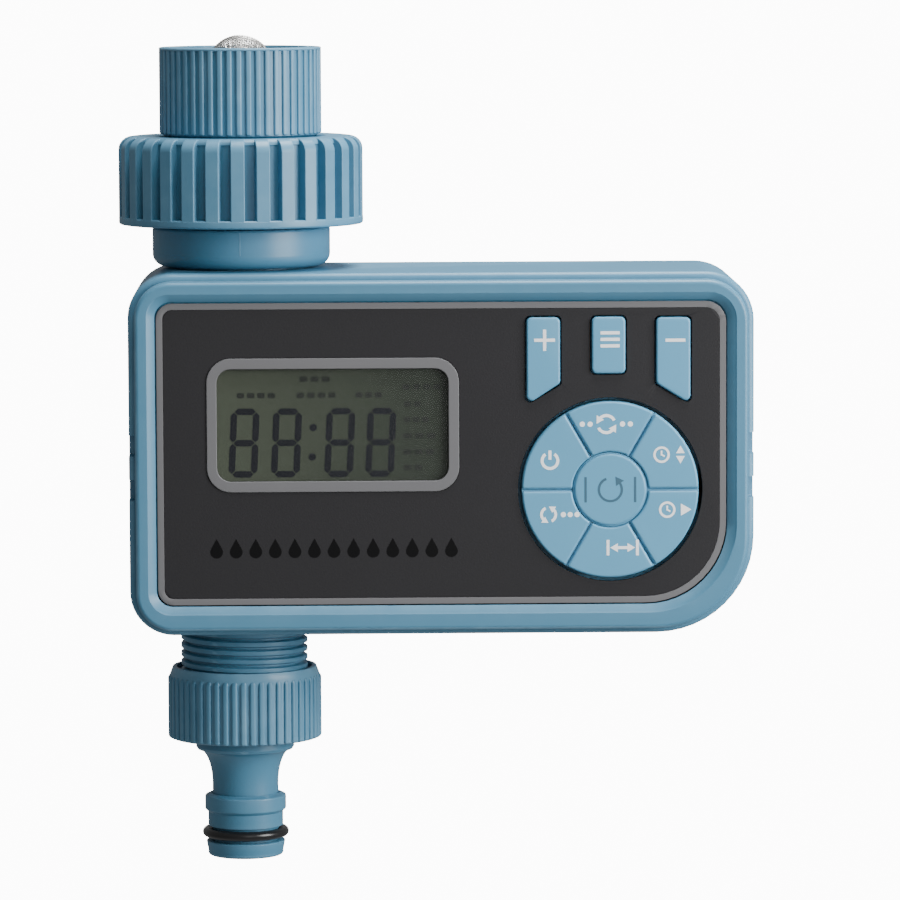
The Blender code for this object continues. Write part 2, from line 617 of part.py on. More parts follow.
def gear_train():
    output_stage = (OUTPUT_TEETH, direction(OUTPUT_AT, GEAR_1_AT), (21.5, 25.5))
    gear("output_gear", [output_stage], OUTPUT_AT, STEM_R + GAP, WHITE_PLASTIC)
    gear("compound_gear_1", [
        (WHEEL_TEETH, direction(GEAR_1_AT, GEAR_2_AT), (27.0, 30.0)),
        (PINION_TEETH, gap_towards(GEAR_1_AT, OUTPUT_AT, PINION_TEETH), (21.0, 27.1))],
        GEAR_1_AT, PIN_BORE_R, WHITE_PLASTIC)
    gear("compound_gear_2", [
        (WHEEL_TEETH, direction(GEAR_2_AT, MOTOR_AT), (31.0, 34.0)),
        (PINION_TEETH, gap_towards(GEAR_2_AT, GEAR_1_AT, PINION_TEETH), (26.8, 31.1))],
        GEAR_2_AT, PIN_BORE_R, WHITE_PLASTIC)
    pinion_outline = gear_outline(PINION_TEETH, MOTOR_AT, gap_towards(MOTOR_AT, GEAR_2_AT, PINION_TEETH))
    pinion = slab_along_x("motor_pinion", [pinion_outline], (31.0, 34.6), STEEL)
    shaft = turned_along_x("motor_shaft", rod_profile(1.0, 40.5, 34.0), MOTOR_AT, closed=False, steps=12)
    boolean(pinion, shaft, "UNION")
    for name, centre, low in (("gear_pin_1", GEAR_1_AT, 20.6), ("gear_pin_2", GEAR_2_AT, 27.2)):
        profile = rod_profile(PIN_BORE_R - GAP, GEAR_PLATE_X[1], low)
        turned_along_x(name, profile, centre, STEEL, closed=False, steps=16)


def gear_plate_and_motor():
    outline = rectangle(-14.6, 16.8, -56.0, -110.0, [4] * 4, 3)
    holes = [circle(*GEAR_1_AT, PIN_BORE_R, 12), circle(*GEAR_2_AT, PIN_BORE_R, 12), circle(*MOTOR_AT, 3.2, 12)]
    slab_along_x("gear_plate", [outline, *holes], GEAR_PLATE_X, WHITE_PLASTIC)
    front, back = MOTOR_X
    turned_along_x("motor", (
        (0, back + 1.2), (3.0, back + 1.2), (3.0, back), (MOTOR_R - 0.6, back), (MOTOR_R, back - 0.6),
        (MOTOR_R, front), (1.4, front), (1.4, front + 3.4), (0, front + 3.4)), MOTOR_AT, STEEL, closed=False)


def contacts_and_leads():
    left, right, top, bottom = PLUG
    box("contact_plug", (left, right), (BOARD_BACK_Y + GAP, -13.2), (top, bottom), WHITE_PLASTIC)
    socket = box("contact_socket", (left - 2, right + 2), (-14.7, -9.0), (top + 1.8, bottom - 1.8), CHARCOAL)
    boolean(socket, box("socket_slot", (left - GAP, right + GAP), (-20, -11.0), (top + GAP, bottom - GAP)))
    start_z, motor_z = top + 1.8 + GAP, MOTOR_AT[1]
    for name, look, x, y, end_z in (("motor_lead_red", RED_WIRE, 43.5, -5.0, motor_z - 6.0),
                                    ("motor_lead_black", BLACK_RUBBER, 48.0, -9.0, motor_z + 6.0)):
        end_x = MOTOR_X[1] + GAP + 0.7
        points = ((x, -11.5, start_z), (x + 1, y - 1, -102), (x + 4, y, -92), (end_x + 1.4, y, -82),
                  (end_x, y + 2, end_z))
        tube(name, smooth_path(points, 3), 0.6, look, resolution=1)


def smooth_path(points, per_span):
    """Points of a Catmull-Rom curve through the given ones."""
    ends = [points[0], *points, points[-1]]
    path = []
    for i in range(len(points) - 1):
        p0, p1, p2, p3 = (Vector(p) for p in ends[i:i + 4])
        for k in range(per_span):
            t = k / per_span
            path.append(0.5 * (2 * p1 + (p2 - p0) * t + (2 * p0 - 5 * p1 + 4 * p2 - p3) * t ** 2
                               + (3 * p1 - p0 - 3 * p2 + p3) * t ** 3))
    return [*path, Vector(points[-1])]


# ---------------------------------------------------------------- control module

def grow(area, by, radii=(1.0,) * 4, steps=3):
    left, right, top, bottom = area
    return rectangle(left - by, right + by, top + by, bottom - by, radii, steps)


def arrow_key(inner_x, outer_x, top, short, tall, by=0.0):
    """Straight key with a slanted foot: its side at outer_x is the tall one."""
    low, high = sorted((inner_x, outer_x))
    foot = {inner_x: short, outer_x: tall}
    corners = ((low - by, top + by), (high + by, top + by),
               (high + by, foot[high] - by), (low - by, foot[low] - by))
    return rounded(corners, [1.0] * 4, 3)


def sector(middle, inner_r, outer_r, gap=SECTOR_GAP, steps=6):
    """One sixth of the round keypad, with parallel-sided gaps to its neighbours."""
    points = []
    for radius, direction_sign in ((outer_r, -1), (inner_r, 1)):
        half = math.radians(30) - math.asin(gap / 2 / radius)
        for k in range(steps + 1):
            angle = math.radians(middle) + direction_sign * half * (2 * k / steps - 1)
            points.append((DISC_X + radius * math.cos(angle), DISC_Z + radius * math.sin(angle)))
    return points


def key(name, cap, flange, plunger_at):
    part = slab(name, [cap], KEY_FRONT_Y, KEY_CAP_BACK_Y + 0.1, PALE_BLUE)
    boolean(part, slab(f"{name}_flange", [flange], KEY_CAP_BACK_Y, KEY_FLANGE_BACK_Y), "UNION")
    foot = [circle(*plunger_at, PLUNGER_R, 8)]
    plunger = slab(f"{name}_plunger", foot, KEY_FLANGE_BACK_Y - 0.3, KEY_PLUNGER_END_Y)
    return boolean(part, plunger, "UNION")


def key_holes(by):
    """Holes for the keys through the panel or the bezel's floor."""
    return [arrow_key(*PLUS, by), grow(MODE, by), arrow_key(*MINUS, by),
            circle(DISC_X, DISC_Z, DISC_APERTURE_R, 36)]


def plunger_places():
    places = {"plus_key": (61.7, -61.5), "mode_key": (75.0, -60.3), "minus_key": (88.2, -61.5),
              "reset_key": (DISC_X, DISC_Z)}
    for name, angle in SECTOR_KEYS.items():
        turn = math.radians(angle)
        places[name] = (DISC_X + 13 * math.cos(turn), DISC_Z + 13 * math.sin(turn))
    return places


def keys():
    at = plunger_places()
    key("plus_key", arrow_key(*PLUS), arrow_key(*PLUS, KEY_FLANGE), at["plus_key"])
    key("mode_key", grow(MODE, 0), grow(MODE, KEY_FLANGE), at["mode_key"])
    key("minus_key", arrow_key(*MINUS), arrow_key(*MINUS, KEY_FLANGE), at["minus_key"])
    reset = circle(DISC_X, DISC_Z, RESET_R, 24)
    key("reset_key", reset, circle(DISC_X, DISC_Z, RESET_R - 0.3, 24), at["reset_key"])
    for name, angle in SECTOR_KEYS.items():
        cap, flange = sector(angle, SECTOR_INNER_R, DISC_R), sector(angle, SECTOR_INNER_R + 0.2, DISC_R + 1.4, 0.9)
        key(name, cap, flange, at[name])


def control_bezel():
    bezel = slab("control_bezel", [body_outline(BEZEL_INSET)], FRONT_Y, RIM_Y - GAP, BLUE)
    skirt_sections = ((SKIRT_INSET, RIM_Y - 1, SEAL_FRONT_Y - GAP), (SEAL_GROOVE_INSET, RIM_Y - 1, SKIRT_BACK_Y - 1),
                      (SKIRT_INSET, SEAL_BACK_Y + GAP, SKIRT_BACK_Y))
    for i, (inset, front, back) in enumerate(skirt_sections):
        boolean(bezel, slab(f"skirt_{i}", [body_outline(inset)], front, back), "UNION")
    recess = rectangle(*RECESS, PANEL_RADII)
    mouth = rectangle(*RECESS_MOUTH, [radius + 1.2 for radius in PANEL_RADII])
    boolean(bezel, slab("recess", [recess], FRONT_Y - 2, FLOOR_FRONT_Y))
    inner = rectangle(*(edge + 0.1 * sign for edge, sign in zip(RECESS, (1, -1, -1, 1))), PANEL_RADII)
    boolean(bezel, tapered("recess_slope", mouth, FRONT_Y - 0.01, inner, PANEL_FRONT_Y))
    boolean(bezel, slab("cavity", [body_outline(CAVITY_INSET)], FLOOR_BACK_Y, SKIRT_BACK_Y + 2))
    for i, outline in enumerate([grow(LCD_WINDOW, 0.4), *key_holes(0.35)]):
        boolean(bezel, slab(f"floor_hole_{i}", [outline], FLOOR_FRONT_Y - 1, FLOOR_BACK_Y + 1))
    for i, (x, z) in enumerate(MODULE_SCREWS):
        outline = [circle(x, z, BOSS_R, 12), circle(x, z, SCREW_HOLE_R, 8)]
        boss = slab(f"bezel_boss_{i}", outline, FLOOR_BACK_Y - 0.5, SKIRT_BACK_Y)
        boolean(bezel, boss, "UNION")
    return smooth(bezel)


def module_internals():
    frame_hole = grow(LCD_FRAME, 0.15, (5.0,) * 4, 4)
    slab("panel_overlay", [rectangle(*PANEL, PANEL_RADII), frame_hole, *key_holes(0.2)],
         PANEL_FRONT_Y, PANEL_BACK_Y, CHARCOAL)
    outlines = [grow(LCD_FRAME, 0, (5.0,) * 4, 4), grow(LCD_WINDOW, 0, (2.8,) * 4, 3)]
    slab("lcd_frame", outlines, -28.2, PANEL_BACK_Y, GREY)
    slab("lcd_window", [grow(LCD_WINDOW, -0.2, (2.6,) * 4, 3)], -27.9, -27.1, ((0.3, 0.33, 0.28), 0.05, 0.0))
    slab("lcd_display", [grow(LCD_WINDOW, 0.1, (1.0,) * 4, 2)], -26.8, -24.9, DISPLAY_GLASS)
    at = plunger_places()
    slab("keypad_mat", [rectangle(55.0, 93.6, -53.0, -110.5, (2, 2, 10, 2), 3),
                        *[circle(*place, PLUNGER_R + 0.4, 8) for place in at.values()]],
         MAT_FRONT_Y, MAT_BACK_Y, PALE_BLUE)
    slab("circuit_board", [rectangle(-11.0, 93.5, -52.5, -112.0, (2, 2, 14, 2), 3)],
         BOARD_FRONT_Y, BOARD_BACK_Y, ((0.02, 0.12, 0.05), 0.4, 0.0))
    slab("front_seal", [body_outline(SEAL_INSET), body_outline(SEAL_GROOVE_INSET - GAP)], SEAL_FRONT_Y, SEAL_BACK_Y,
         BLACK_RUBBER)


def module_back():
    plug_hole = rectangle(PLUG[0] - 0.5, PLUG[1] + 0.5, PLUG[2] + 0.5, PLUG[3] - 0.5, [0.4] * 4, 1)
    holes = [circle(x, z, 1.2, 12) for x, z in MODULE_SCREWS]
    back = slab("module_back", [body_outline(SKIRT_INSET), plug_hole, *holes],
                MODULE_PLATE_FRONT_Y, MODULE_PLATE_BACK_Y, CHARCOAL)
    walls = slab("tray_walls", [grow(TRAY, 0, (2.0,) * 4), grow(TRAY, -TRAY_WALL)],
                 MODULE_PLATE_BACK_Y - 0.3, TRAY_BACK_Y)
    boolean(back, walls, "UNION")
    for i, (x, z) in enumerate(COVER_SCREWS[:3]):
        boolean(back, slab(f"screw_clearance_{i}", [circle(x, z, 2.6, 12)], -20, -15))
    slab("battery_lid", [grow(TRAY, 0, (2.0,) * 4)], LID_FRONT_Y, LID_BACK_Y, CHARCOAL)
    for i, (x, z) in enumerate(MODULE_SCREWS):
        part = screw(f"module_screw_{i + 1}", x, z, -MODULE_PLATE_BACK_Y - GAP)
        part.rotation_euler = (-math.pi / 2, 0, 0)
        part.location.y = (MODULE_PLATE_BACK_Y + GAP) * MM


def batteries():
    top = TRAY[2] - TRAY_WALL - 2.4
    for i, x in enumerate(CELL_XS):
        nub_up = i == 1
        body_top, body_bottom = (top - 1.0, top - CELL_LONG) if nub_up else (top, top - CELL_LONG + 1.0)
        profile = [(0, body_top), (CELL_R, body_top), (CELL_R, body_bottom), (0, body_bottom)]
        if nub_up:
            profile[:1] = [(0, top), (1.9, top), (1.9, body_top)]
        else:
            profile[-1:] = [(1.9, body_bottom), (1.9, body_bottom - 1.0), (0, body_bottom - 1.0)]
        cell = turned(f"battery_{i + 1}", profile, CELL_WRAP, closed=False)
        cell.location = (x * MM, CELL_Y * MM, 0)
    # The coil narrows towards the cell by more than the wire's thickness a turn, so its turns never touch.
    turns, wire_r, wide_r, narrow_r = 2, 0.3, 3.4, 1.6
    coil_points = []
    for k in range(turns * 12 + 1):
        angle, share = 2 * math.pi * k / 12, k / (turns * 12)
        coil_r = narrow_r + (wide_r - narrow_r) * share
        height = top + GAP + wire_r + 1.1 * share
        coil_points.append((CELL_XS[0] + coil_r * math.cos(angle), CELL_Y + coil_r * math.sin(angle), height))
    tube("battery_spring", coil_points, wire_r, STEEL, resolution=1)
    tab_top = TRAY[2] - TRAY_WALL - GAP
    x = CELL_XS[1]
    box("battery_tab", (x - 4, x + 4), (CELL_Y - 4, CELL_Y + 4), (tab_top, tab_top - 0.5), STEEL)


def build():
    rear_housing()
    drive_cover()
    valve_body()
    waterway_rings()
    swivel_nut()
    tap_adaptor()
    filter_dome()
    hose_connector()
    valve_ball()
    gear_train()
    gear_plate_and_motor()
    contacts_and_leads()
    control_bezel()
    module_internals()
    keys()
    module_back()
    batteries()


build()
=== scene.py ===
# %% [markdown]
# # A tap-mounted irrigation timer
# The timer hangs under a garden tap. A slotted nut and a ribbed adaptor hold it there, a casing beside the
# waterway carries a pull-off control module, and a hose connector is screwed to the outlet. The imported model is
# the fixed frame: every piece made here rides on one of its bodies and stays inside its box.

import json
import math

import bmesh
import bpy
from mathutils import Matrix, Vector

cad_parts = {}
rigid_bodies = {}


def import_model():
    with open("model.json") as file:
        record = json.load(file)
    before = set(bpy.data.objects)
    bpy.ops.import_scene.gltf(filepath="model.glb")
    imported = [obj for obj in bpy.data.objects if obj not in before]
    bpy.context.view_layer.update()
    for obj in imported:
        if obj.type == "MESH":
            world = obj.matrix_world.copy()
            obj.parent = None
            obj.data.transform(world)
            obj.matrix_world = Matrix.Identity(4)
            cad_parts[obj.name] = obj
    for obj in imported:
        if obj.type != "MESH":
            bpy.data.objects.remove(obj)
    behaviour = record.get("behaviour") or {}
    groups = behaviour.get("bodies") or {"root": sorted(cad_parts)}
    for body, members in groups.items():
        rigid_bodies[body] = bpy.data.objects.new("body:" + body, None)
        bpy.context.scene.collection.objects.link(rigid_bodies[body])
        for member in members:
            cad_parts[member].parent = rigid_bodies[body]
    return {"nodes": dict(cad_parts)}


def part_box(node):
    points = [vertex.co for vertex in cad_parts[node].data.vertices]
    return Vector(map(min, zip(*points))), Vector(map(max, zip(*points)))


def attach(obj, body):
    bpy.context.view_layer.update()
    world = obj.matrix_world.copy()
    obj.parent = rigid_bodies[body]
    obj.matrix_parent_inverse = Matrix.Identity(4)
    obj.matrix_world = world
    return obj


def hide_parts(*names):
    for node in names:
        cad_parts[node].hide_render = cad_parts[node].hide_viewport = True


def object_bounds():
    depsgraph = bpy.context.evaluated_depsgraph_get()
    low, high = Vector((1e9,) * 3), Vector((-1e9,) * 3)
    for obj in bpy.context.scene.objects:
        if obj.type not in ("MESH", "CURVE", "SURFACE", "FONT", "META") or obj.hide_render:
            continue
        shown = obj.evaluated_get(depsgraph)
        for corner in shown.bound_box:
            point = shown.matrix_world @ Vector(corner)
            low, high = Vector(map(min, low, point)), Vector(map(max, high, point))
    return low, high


for start_object in list(bpy.data.objects):
    bpy.data.objects.remove(start_object)
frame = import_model()
CAD_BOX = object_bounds()
MM = 0.001
print("CAD box in mm:", [[round(value / MM, 1) for value in corner] for corner in CAD_BOX])

# %% [markdown]
# ## Measures
# The frame's boxes give where each piece lies. The few sizes below are what a box can't say, such as how far a
# rim is rounded. They are in millimetres, in the frame's own axes: +Z up the waterway, -Y out of the panel.

# %% Measures
def span(node):
    """A node's box in millimetres: left, front, bottom, right, back, top."""
    low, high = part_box(node)
    return [value / MM for value in (*low, *high)]


BODY_LEFT, RIM_Y, BODY_BOTTOM, BODY_RIGHT, BACK_Y, BODY_TOP = span("rear_housing")
BODY_RADII = (9.0, 10.0, 20.0, 9.0)          # top left, top right, bottom right, bottom left
WALL = 2.4
BACK_FILLET = 7.0
_, FRONT_Y, _, _, SKIRT_BACK_Y, _ = span("control_bezel")
PANEL_LEFT, PANEL_FRONT_Y, PANEL_BOTTOM, PANEL_RIGHT, PANEL_BACK_Y, PANEL_TOP = span("panel_overlay")
PANEL_RADII = (3.2, 4.2, 16.5, 3.2)
G34_PITCH, G34_CREST_R, G34_ROOT_R = 1.814, 13.22, 12.06
G1_PITCH, G1_CREST_R, G1_ROOT_R = 2.309, 16.62, 15.15
FINE_RIBS, NUT_RIBS = 52, 30
print("casing", round(BODY_RIGHT - BODY_LEFT, 1), "wide,", round(BODY_TOP - BODY_BOTTOM, 1), "tall")

# %% [markdown]
# ## Camera
# A long lens looks slightly down at the front, square to the panel. It stands more than a metre away, so that
# the upright edges stay parallel while the round rims still open a little towards the top of the view.

# %% Camera
CAMERA_DISTANCE, CAMERA_LENS = 1.150, 220.34
CAMERA_PITCH, CAMERA_ROLL, CAMERA_YAW = math.radians(5.4), math.radians(0.24), math.radians(1.1)
CAMERA_TARGET = Vector((0.0432, 0.0, -0.0842))


def make_camera():
    forward = Vector((math.sin(CAMERA_YAW) * math.cos(CAMERA_PITCH), math.cos(CAMERA_YAW) * math.cos(CAMERA_PITCH),
                      -math.sin(CAMERA_PITCH)))
    right = Vector((math.cos(CAMERA_YAW), -math.sin(CAMERA_YAW), 0))
    down = forward.cross(right)
    rolled_right = math.cos(CAMERA_ROLL) * right + math.sin(CAMERA_ROLL) * down
    rolled_up = -(math.cos(CAMERA_ROLL) * down - math.sin(CAMERA_ROLL) * right)
    camera = bpy.data.objects.new("camera", bpy.data.cameras.new("camera"))
    bpy.context.scene.collection.objects.link(camera)
    camera.data.lens = CAMERA_LENS
    camera.data.sensor_width = 36.0
    axes = Matrix((rolled_right, rolled_up, -forward)).transposed().to_4x4()
    camera.matrix_world = Matrix.Translation(CAMERA_TARGET - forward * CAMERA_DISTANCE) @ axes
    camera.data.clip_start, camera.data.clip_end = 0.05, 2000.0
    bpy.context.scene.camera = camera
    return camera


camera = make_camera()
print("camera at", [round(value, 3) for value in camera.location])

# %% [markdown]
# ## Floor and light
# The floor is a wide pale sheet well below the timer. It looks brighter to the camera than it shines on the
# object, as a sheet with its own lamps does in a studio, and so does the sky. The undersides stay a little darker
# than the tops. A soft sky and three panels, at the right, above and in front, give the mouldings their shape.

# %% Floor and light
FLOOR_GLOW, SKY = 12.0, 0.27


def make_floor():
    bpy.ops.mesh.primitive_plane_add(size=2000, location=(0, 0, CAD_BOX[0].z - 1.5))
    floor = bpy.context.object
    floor.name = "floor"
    pale = bpy.data.materials.new("pale_floor")
    pale.use_nodes = True
    tree = pale.node_tree
    shader = tree.nodes["Principled BSDF"]
    shader.inputs["Base Color"].default_value = (0.8, 0.8, 0.8, 1)
    shader.inputs["Roughness"].default_value = 0.9
    seen = tree.nodes.new("ShaderNodeLightPath")
    glow = tree.nodes.new("ShaderNodeMath")
    glow.operation = "MULTIPLY"
    glow.inputs[1].default_value = FLOOR_GLOW
    tree.links.new(seen.outputs["Is Camera Ray"], glow.inputs[0])
    shader.inputs["Emission Color"].default_value = (1, 1, 1, 1)
    tree.links.new(glow.outputs[0], shader.inputs["Emission Strength"])
    floor.data.materials.append(pale)


def area_light(name, place, size, watts):
    light = bpy.data.objects.new(name, bpy.data.lights.new(name, "AREA"))
    bpy.context.scene.collection.objects.link(light)
    light.data.shape = "RECTANGLE"
    light.data.size, light.data.size_y = size
    light.data.energy = watts
    light.location = place
    light.rotation_euler = (Vector((0.04, 0, -0.08)) - Vector(place)).to_track_quat("-Z", "Y").to_euler()


def make_light():
    world = bpy.data.worlds.new("white_sky")
    bpy.context.scene.world = world
    world.use_nodes = True
    world.node_tree.nodes["Background"].inputs["Color"].default_value = (1, 1, 1, 1)
    seen = world.node_tree.nodes.new("ShaderNodeLightPath")
    glow = world.node_tree.nodes.new("ShaderNodeMath")
    glow.operation = "MULTIPLY_ADD"
    glow.inputs[1].default_value, glow.inputs[2].default_value = FLOOR_GLOW, SKY
    world.node_tree.links.new(seen.outputs["Is Camera Ray"], glow.inputs[0])
    world.node_tree.links.new(glow.outputs[0], world.node_tree.nodes["Background"].inputs["Strength"])
    area_light("key_panel", (0.52, -0.32, 0.04), (0.35, 0.35), 6.0)
    area_light("top_panel", (0.2, 0.0, 0.85), (0.9, 0.4), 22.0)
    area_light("front_panel", (0.25, -1.4, 0.15), (0.5, 0.9), 2.0)


make_floor()
make_light()
print("stage ready, glow", FLOOR_GLOW)

# %% [markdown]
# ## Shared finishes
# Moulded plastic is never one flat colour: the mould's spark-eroded texture breaks up the gloss, the colour
# drifts slightly, and corners that are handled turn paler. The paler edges also stand in for a painted highlight,
# and creases are darkened with painted shade. Two node groups make these once, and each material places them
# with its own values.

# %% Node helpers
class Nodes:
    """Adds nodes to a tree from left to right and links them by socket name."""

    def __init__(self, tree):
        self.tree = tree

    def add(self, kind, **settings):
        node = self.tree.nodes.new(kind)
        for key, value in settings.items():
            if key.startswith("_"):
                setattr(node, key[1:], value)
            elif isinstance(value, bpy.types.NodeSocket):
                self.tree.links.new(value, node.inputs[key.replace("__", " ")])
            else:
                node.inputs[key.replace("__", " ")].default_value = value
        node.location = (200 * len(self.tree.nodes), 0)
        return node

    def math(self, operation, *values):
        node = self.tree.nodes.new("ShaderNodeMath")
        node.operation = operation
        for socket, value in zip(node.inputs, values):
            if isinstance(value, bpy.types.NodeSocket):
                self.tree.links.new(value, socket)
            else:
                socket.default_value = value
        return node.outputs[0]

    def mix(self, factor, first, second):
        node = self.tree.nodes.new("ShaderNodeMix")
        node.data_type = "RGBA"
        for socket, value in ((node.inputs[0], factor), (node.inputs[6], first), (node.inputs[7], second)):
            if isinstance(value, bpy.types.NodeSocket):
                self.tree.links.new(value, socket)
            else:
                socket.default_value = value
        return node.outputs[2]


def new_group(name, inputs, outputs):
    tree = bpy.data.node_groups.new(name, "ShaderNodeTree")
    for socket_name, kind, default in inputs:
        socket = tree.interface.new_socket(socket_name, in_out="INPUT", socket_type=kind)
        socket.default_value = default
    for socket_name, kind in outputs:
        tree.interface.new_socket(socket_name, in_out="OUTPUT", socket_type=kind)
    start, end = tree.nodes.new("NodeGroupInput"), tree.nodes.new("NodeGroupOutput")
    return tree, Nodes(tree), start.outputs, end.inputs


# %% Grain group
def make_grain():
    """Fine mould texture as a height, and a roughness and colour that drift over the surface."""
    tree, nodes, given, out = new_group(
        "mould_grain",
        [("Color", "NodeSocketColor", (0.5, 0.5, 0.5, 1)), ("Roughness", "NodeSocketFloat", 0.45),
         ("Grain Size", "NodeSocketFloat", 0.25), ("Drift", "NodeSocketFloat", 0.06)],
        [("Color", "NodeSocketColor"), ("Roughness", "NodeSocketFloat"), ("Height", "NodeSocketFloat")])
    place = nodes.add("ShaderNodeTexCoord").outputs["Object"]
    fine_scale = nodes.math("DIVIDE", 1000.0, given["Grain Size"])
    fine = nodes.add("ShaderNodeTexNoise", Vector=place, Scale=fine_scale, Detail=2.0)
    cloud = nodes.add("ShaderNodeTexNoise", Vector=place, Scale=55.0, Detail=3.0)
    drift = nodes.math("MULTIPLY", nodes.math("SUBTRACT", cloud.outputs["Fac"], 0.5), given["Drift"])
    shade = nodes.add("ShaderNodeHueSaturation", Color=given["Color"], Value=nodes.math("ADD", 1.0, drift))
    tree.links.new(shade.outputs["Color"], out["Color"])
    rough = nodes.math("ADD", given["Roughness"], nodes.math("MULTIPLY", drift, 1.5))
    tree.links.new(rough, out["Roughness"])
    tree.links.new(fine.outputs["Fac"], out["Height"])
    return tree


# %% Worn edges with painted highlight, and painted shade in creases
def make_wear_and_painted_light():
    """Paler colour on convex edges, partly worn and partly a painted highlight, and painted shade in creases."""
    tree, nodes, given, out = new_group(
        "wear_and_painted_light",
        [("Color", "NodeSocketColor", (0.5, 0.5, 0.5, 1)), ("Edge Color", "NodeSocketColor", (0.7, 0.7, 0.7, 1)),
         ("Wear", "NodeSocketFloat", 0.3), ("Crease", "NodeSocketFloat", 0.3)],
        [("Color", "NodeSocketColor"), ("Mask", "NodeSocketFloat")])
    place = nodes.add("ShaderNodeTexCoord").outputs["Object"]
    patchy = nodes.add("ShaderNodeTexNoise", Vector=place, Scale=220.0, Detail=3.0).outputs["Fac"]
    pointed = nodes.add("ShaderNodeNewGeometry").outputs["Pointiness"]
    # Convex edges found by pointiness: partly worn, partly a painted highlight on the rims.
    edge = nodes.add("ShaderNodeMapRange", Value=pointed, **{"From Min": 0.51, "From Max": 0.58}).outputs["Result"]
    # Painted shade: hollows and creases found by pointiness.
    crease_shade = nodes.add("ShaderNodeMapRange", Value=pointed, **{"From Min": 0.48, "From Max": 0.40}).outputs["Result"]
    edge = nodes.math("MULTIPLY", nodes.math("MULTIPLY", edge, patchy), nodes.math("MULTIPLY", given["Wear"], 1.6))
    worn_and_lit = nodes.mix(edge, given["Color"], given["Edge Color"])
    shade = nodes.math("MULTIPLY", crease_shade, given["Crease"])
    # Painted shade: creases are darkened towards a near-black blue.
    tree.links.new(nodes.mix(shade, worn_and_lit, (0.02, 0.03, 0.04, 1)), out["Color"])
    tree.links.new(edge, out["Mask"])
    return tree


GRAIN = make_grain()
WEAR_AND_PAINTED_LIGHT = make_wear_and_painted_light()
print("finish groups:", GRAIN.name, WEAR_AND_PAINTED_LIGHT.name)

# %% Moulded materials
def place_group(nodes, tree, **settings):
    node = nodes.tree.nodes.new("ShaderNodeGroup")
    node.node_tree = tree
    for key, value in settings.items():
        socket = node.inputs[key.replace("_", " ")]
        if isinstance(value, bpy.types.NodeSocket):
            nodes.tree.links.new(value, socket)
        else:
            socket.default_value = value
    return node


def blank_material(name):
    result = bpy.data.materials.new(name)
    result.use_nodes = True
    return result, Nodes(result.node_tree), result.node_tree.nodes["Principled BSDF"]


def moulded(name, colour, edge_colour, roughness=0.42, grain=0.25, bump=0.06, drift=0.06, wear_and_highlight=0.3, crease_shade=0.3,
            specular=0.5, coat=0.0):
    result, nodes, shader = blank_material(name)
    grain_node = place_group(nodes, GRAIN, Color=(*colour, 1), Roughness=roughness, Grain_Size=grain, Drift=drift)
    # Paler edges are partly worn and partly a painted highlight; creases are darkened with painted shade.
    wear_and_light_node = place_group(nodes, WEAR_AND_PAINTED_LIGHT, Color=grain_node.outputs["Color"], Edge_Color=(*edge_colour, 1),
                            Wear=wear_and_highlight, Crease=crease_shade)
    bump_node = nodes.add("ShaderNodeBump", Strength=bump, Distance=0.0001, Height=grain_node.outputs["Height"])
    result.node_tree.links.new(wear_and_light_node.outputs["Color"], shader.inputs["Base Color"])
    result.node_tree.links.new(grain_node.outputs["Roughness"], shader.inputs["Roughness"])
    result.node_tree.links.new(bump_node.outputs["Normal"], shader.inputs["Normal"])
    shader.inputs["Specular IOR Level"].default_value = specular
    shader.inputs["Coat Weight"].default_value = coat
    return result


# The casing's paler edges are partly worn and partly a painted highlight.
CASING_BLUE = moulded("casing_blue", (0.068, 0.208, 0.325), (0.20, 0.39, 0.53), roughness=0.38, wear_and_highlight=0.5,
                     specular=0.38)
KEY_BLUE = moulded("key_blue", (0.098, 0.325, 0.510), (0.22, 0.46, 0.62), roughness=0.42)
PANEL_CHARCOAL = moulded("panel_charcoal", (0.0165, 0.016, 0.018), (0.03, 0.03, 0.032), roughness=0.58, grain=0.3,
                         bump=0.3, drift=0.04, wear_and_highlight=0.1, crease_shade=0.0, specular=0.3)
BORDER_GREY = moulded("border_grey", (0.140, 0.140, 0.146), (0.17, 0.17, 0.17), roughness=0.45, specular=0.3)
WHITE_PLASTIC = moulded("white_plastic_finish", (0.70, 0.69, 0.65), (0.80, 0.80, 0.78), roughness=0.35)
RUBBER = moulded("rubber_finish", (0.010, 0.010, 0.011), (0.02, 0.02, 0.02), roughness=0.28, bump=0.03)
RED_WIRE = moulded("red_wire_finish", (0.50, 0.02, 0.015), (0.60, 0.06, 0.05), roughness=0.4)
WHITE_INK = moulded("white_ink", (0.97, 0.97, 0.97), (0.97, 0.97, 0.97), roughness=0.5, drift=0.02, crease_shade=0.0)
DARK_BLUE_INK = moulded("dark_blue_ink", (0.035, 0.105, 0.160), (0.05, 0.14, 0.20), roughness=0.55)
GLOSS_BLACK_INK = moulded("gloss_black_ink", (0.003, 0.003, 0.0035), (0.004, 0.004, 0.004), roughness=0.3,
                          bump=0.0, specular=0.15)
print("moulded finishes ready")

# %% [markdown]
# ## Mesh helpers
# Most pieces are one of three kinds: a rounded outline stacked in sections, a turned profile, or a flat shape
# with holes and softened edges. Each helper leaves its piece at the origin with its place in its mesh.

# %% Mesh helpers
def put_in_scene(name, mesh, material, body=None):
    piece = bpy.data.objects.new(name, mesh)
    bpy.context.scene.collection.objects.link(piece)
    if material is not None:
        mesh.materials.clear()
        mesh.materials.append(material)
    if body:
        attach(piece, body)
    return piece


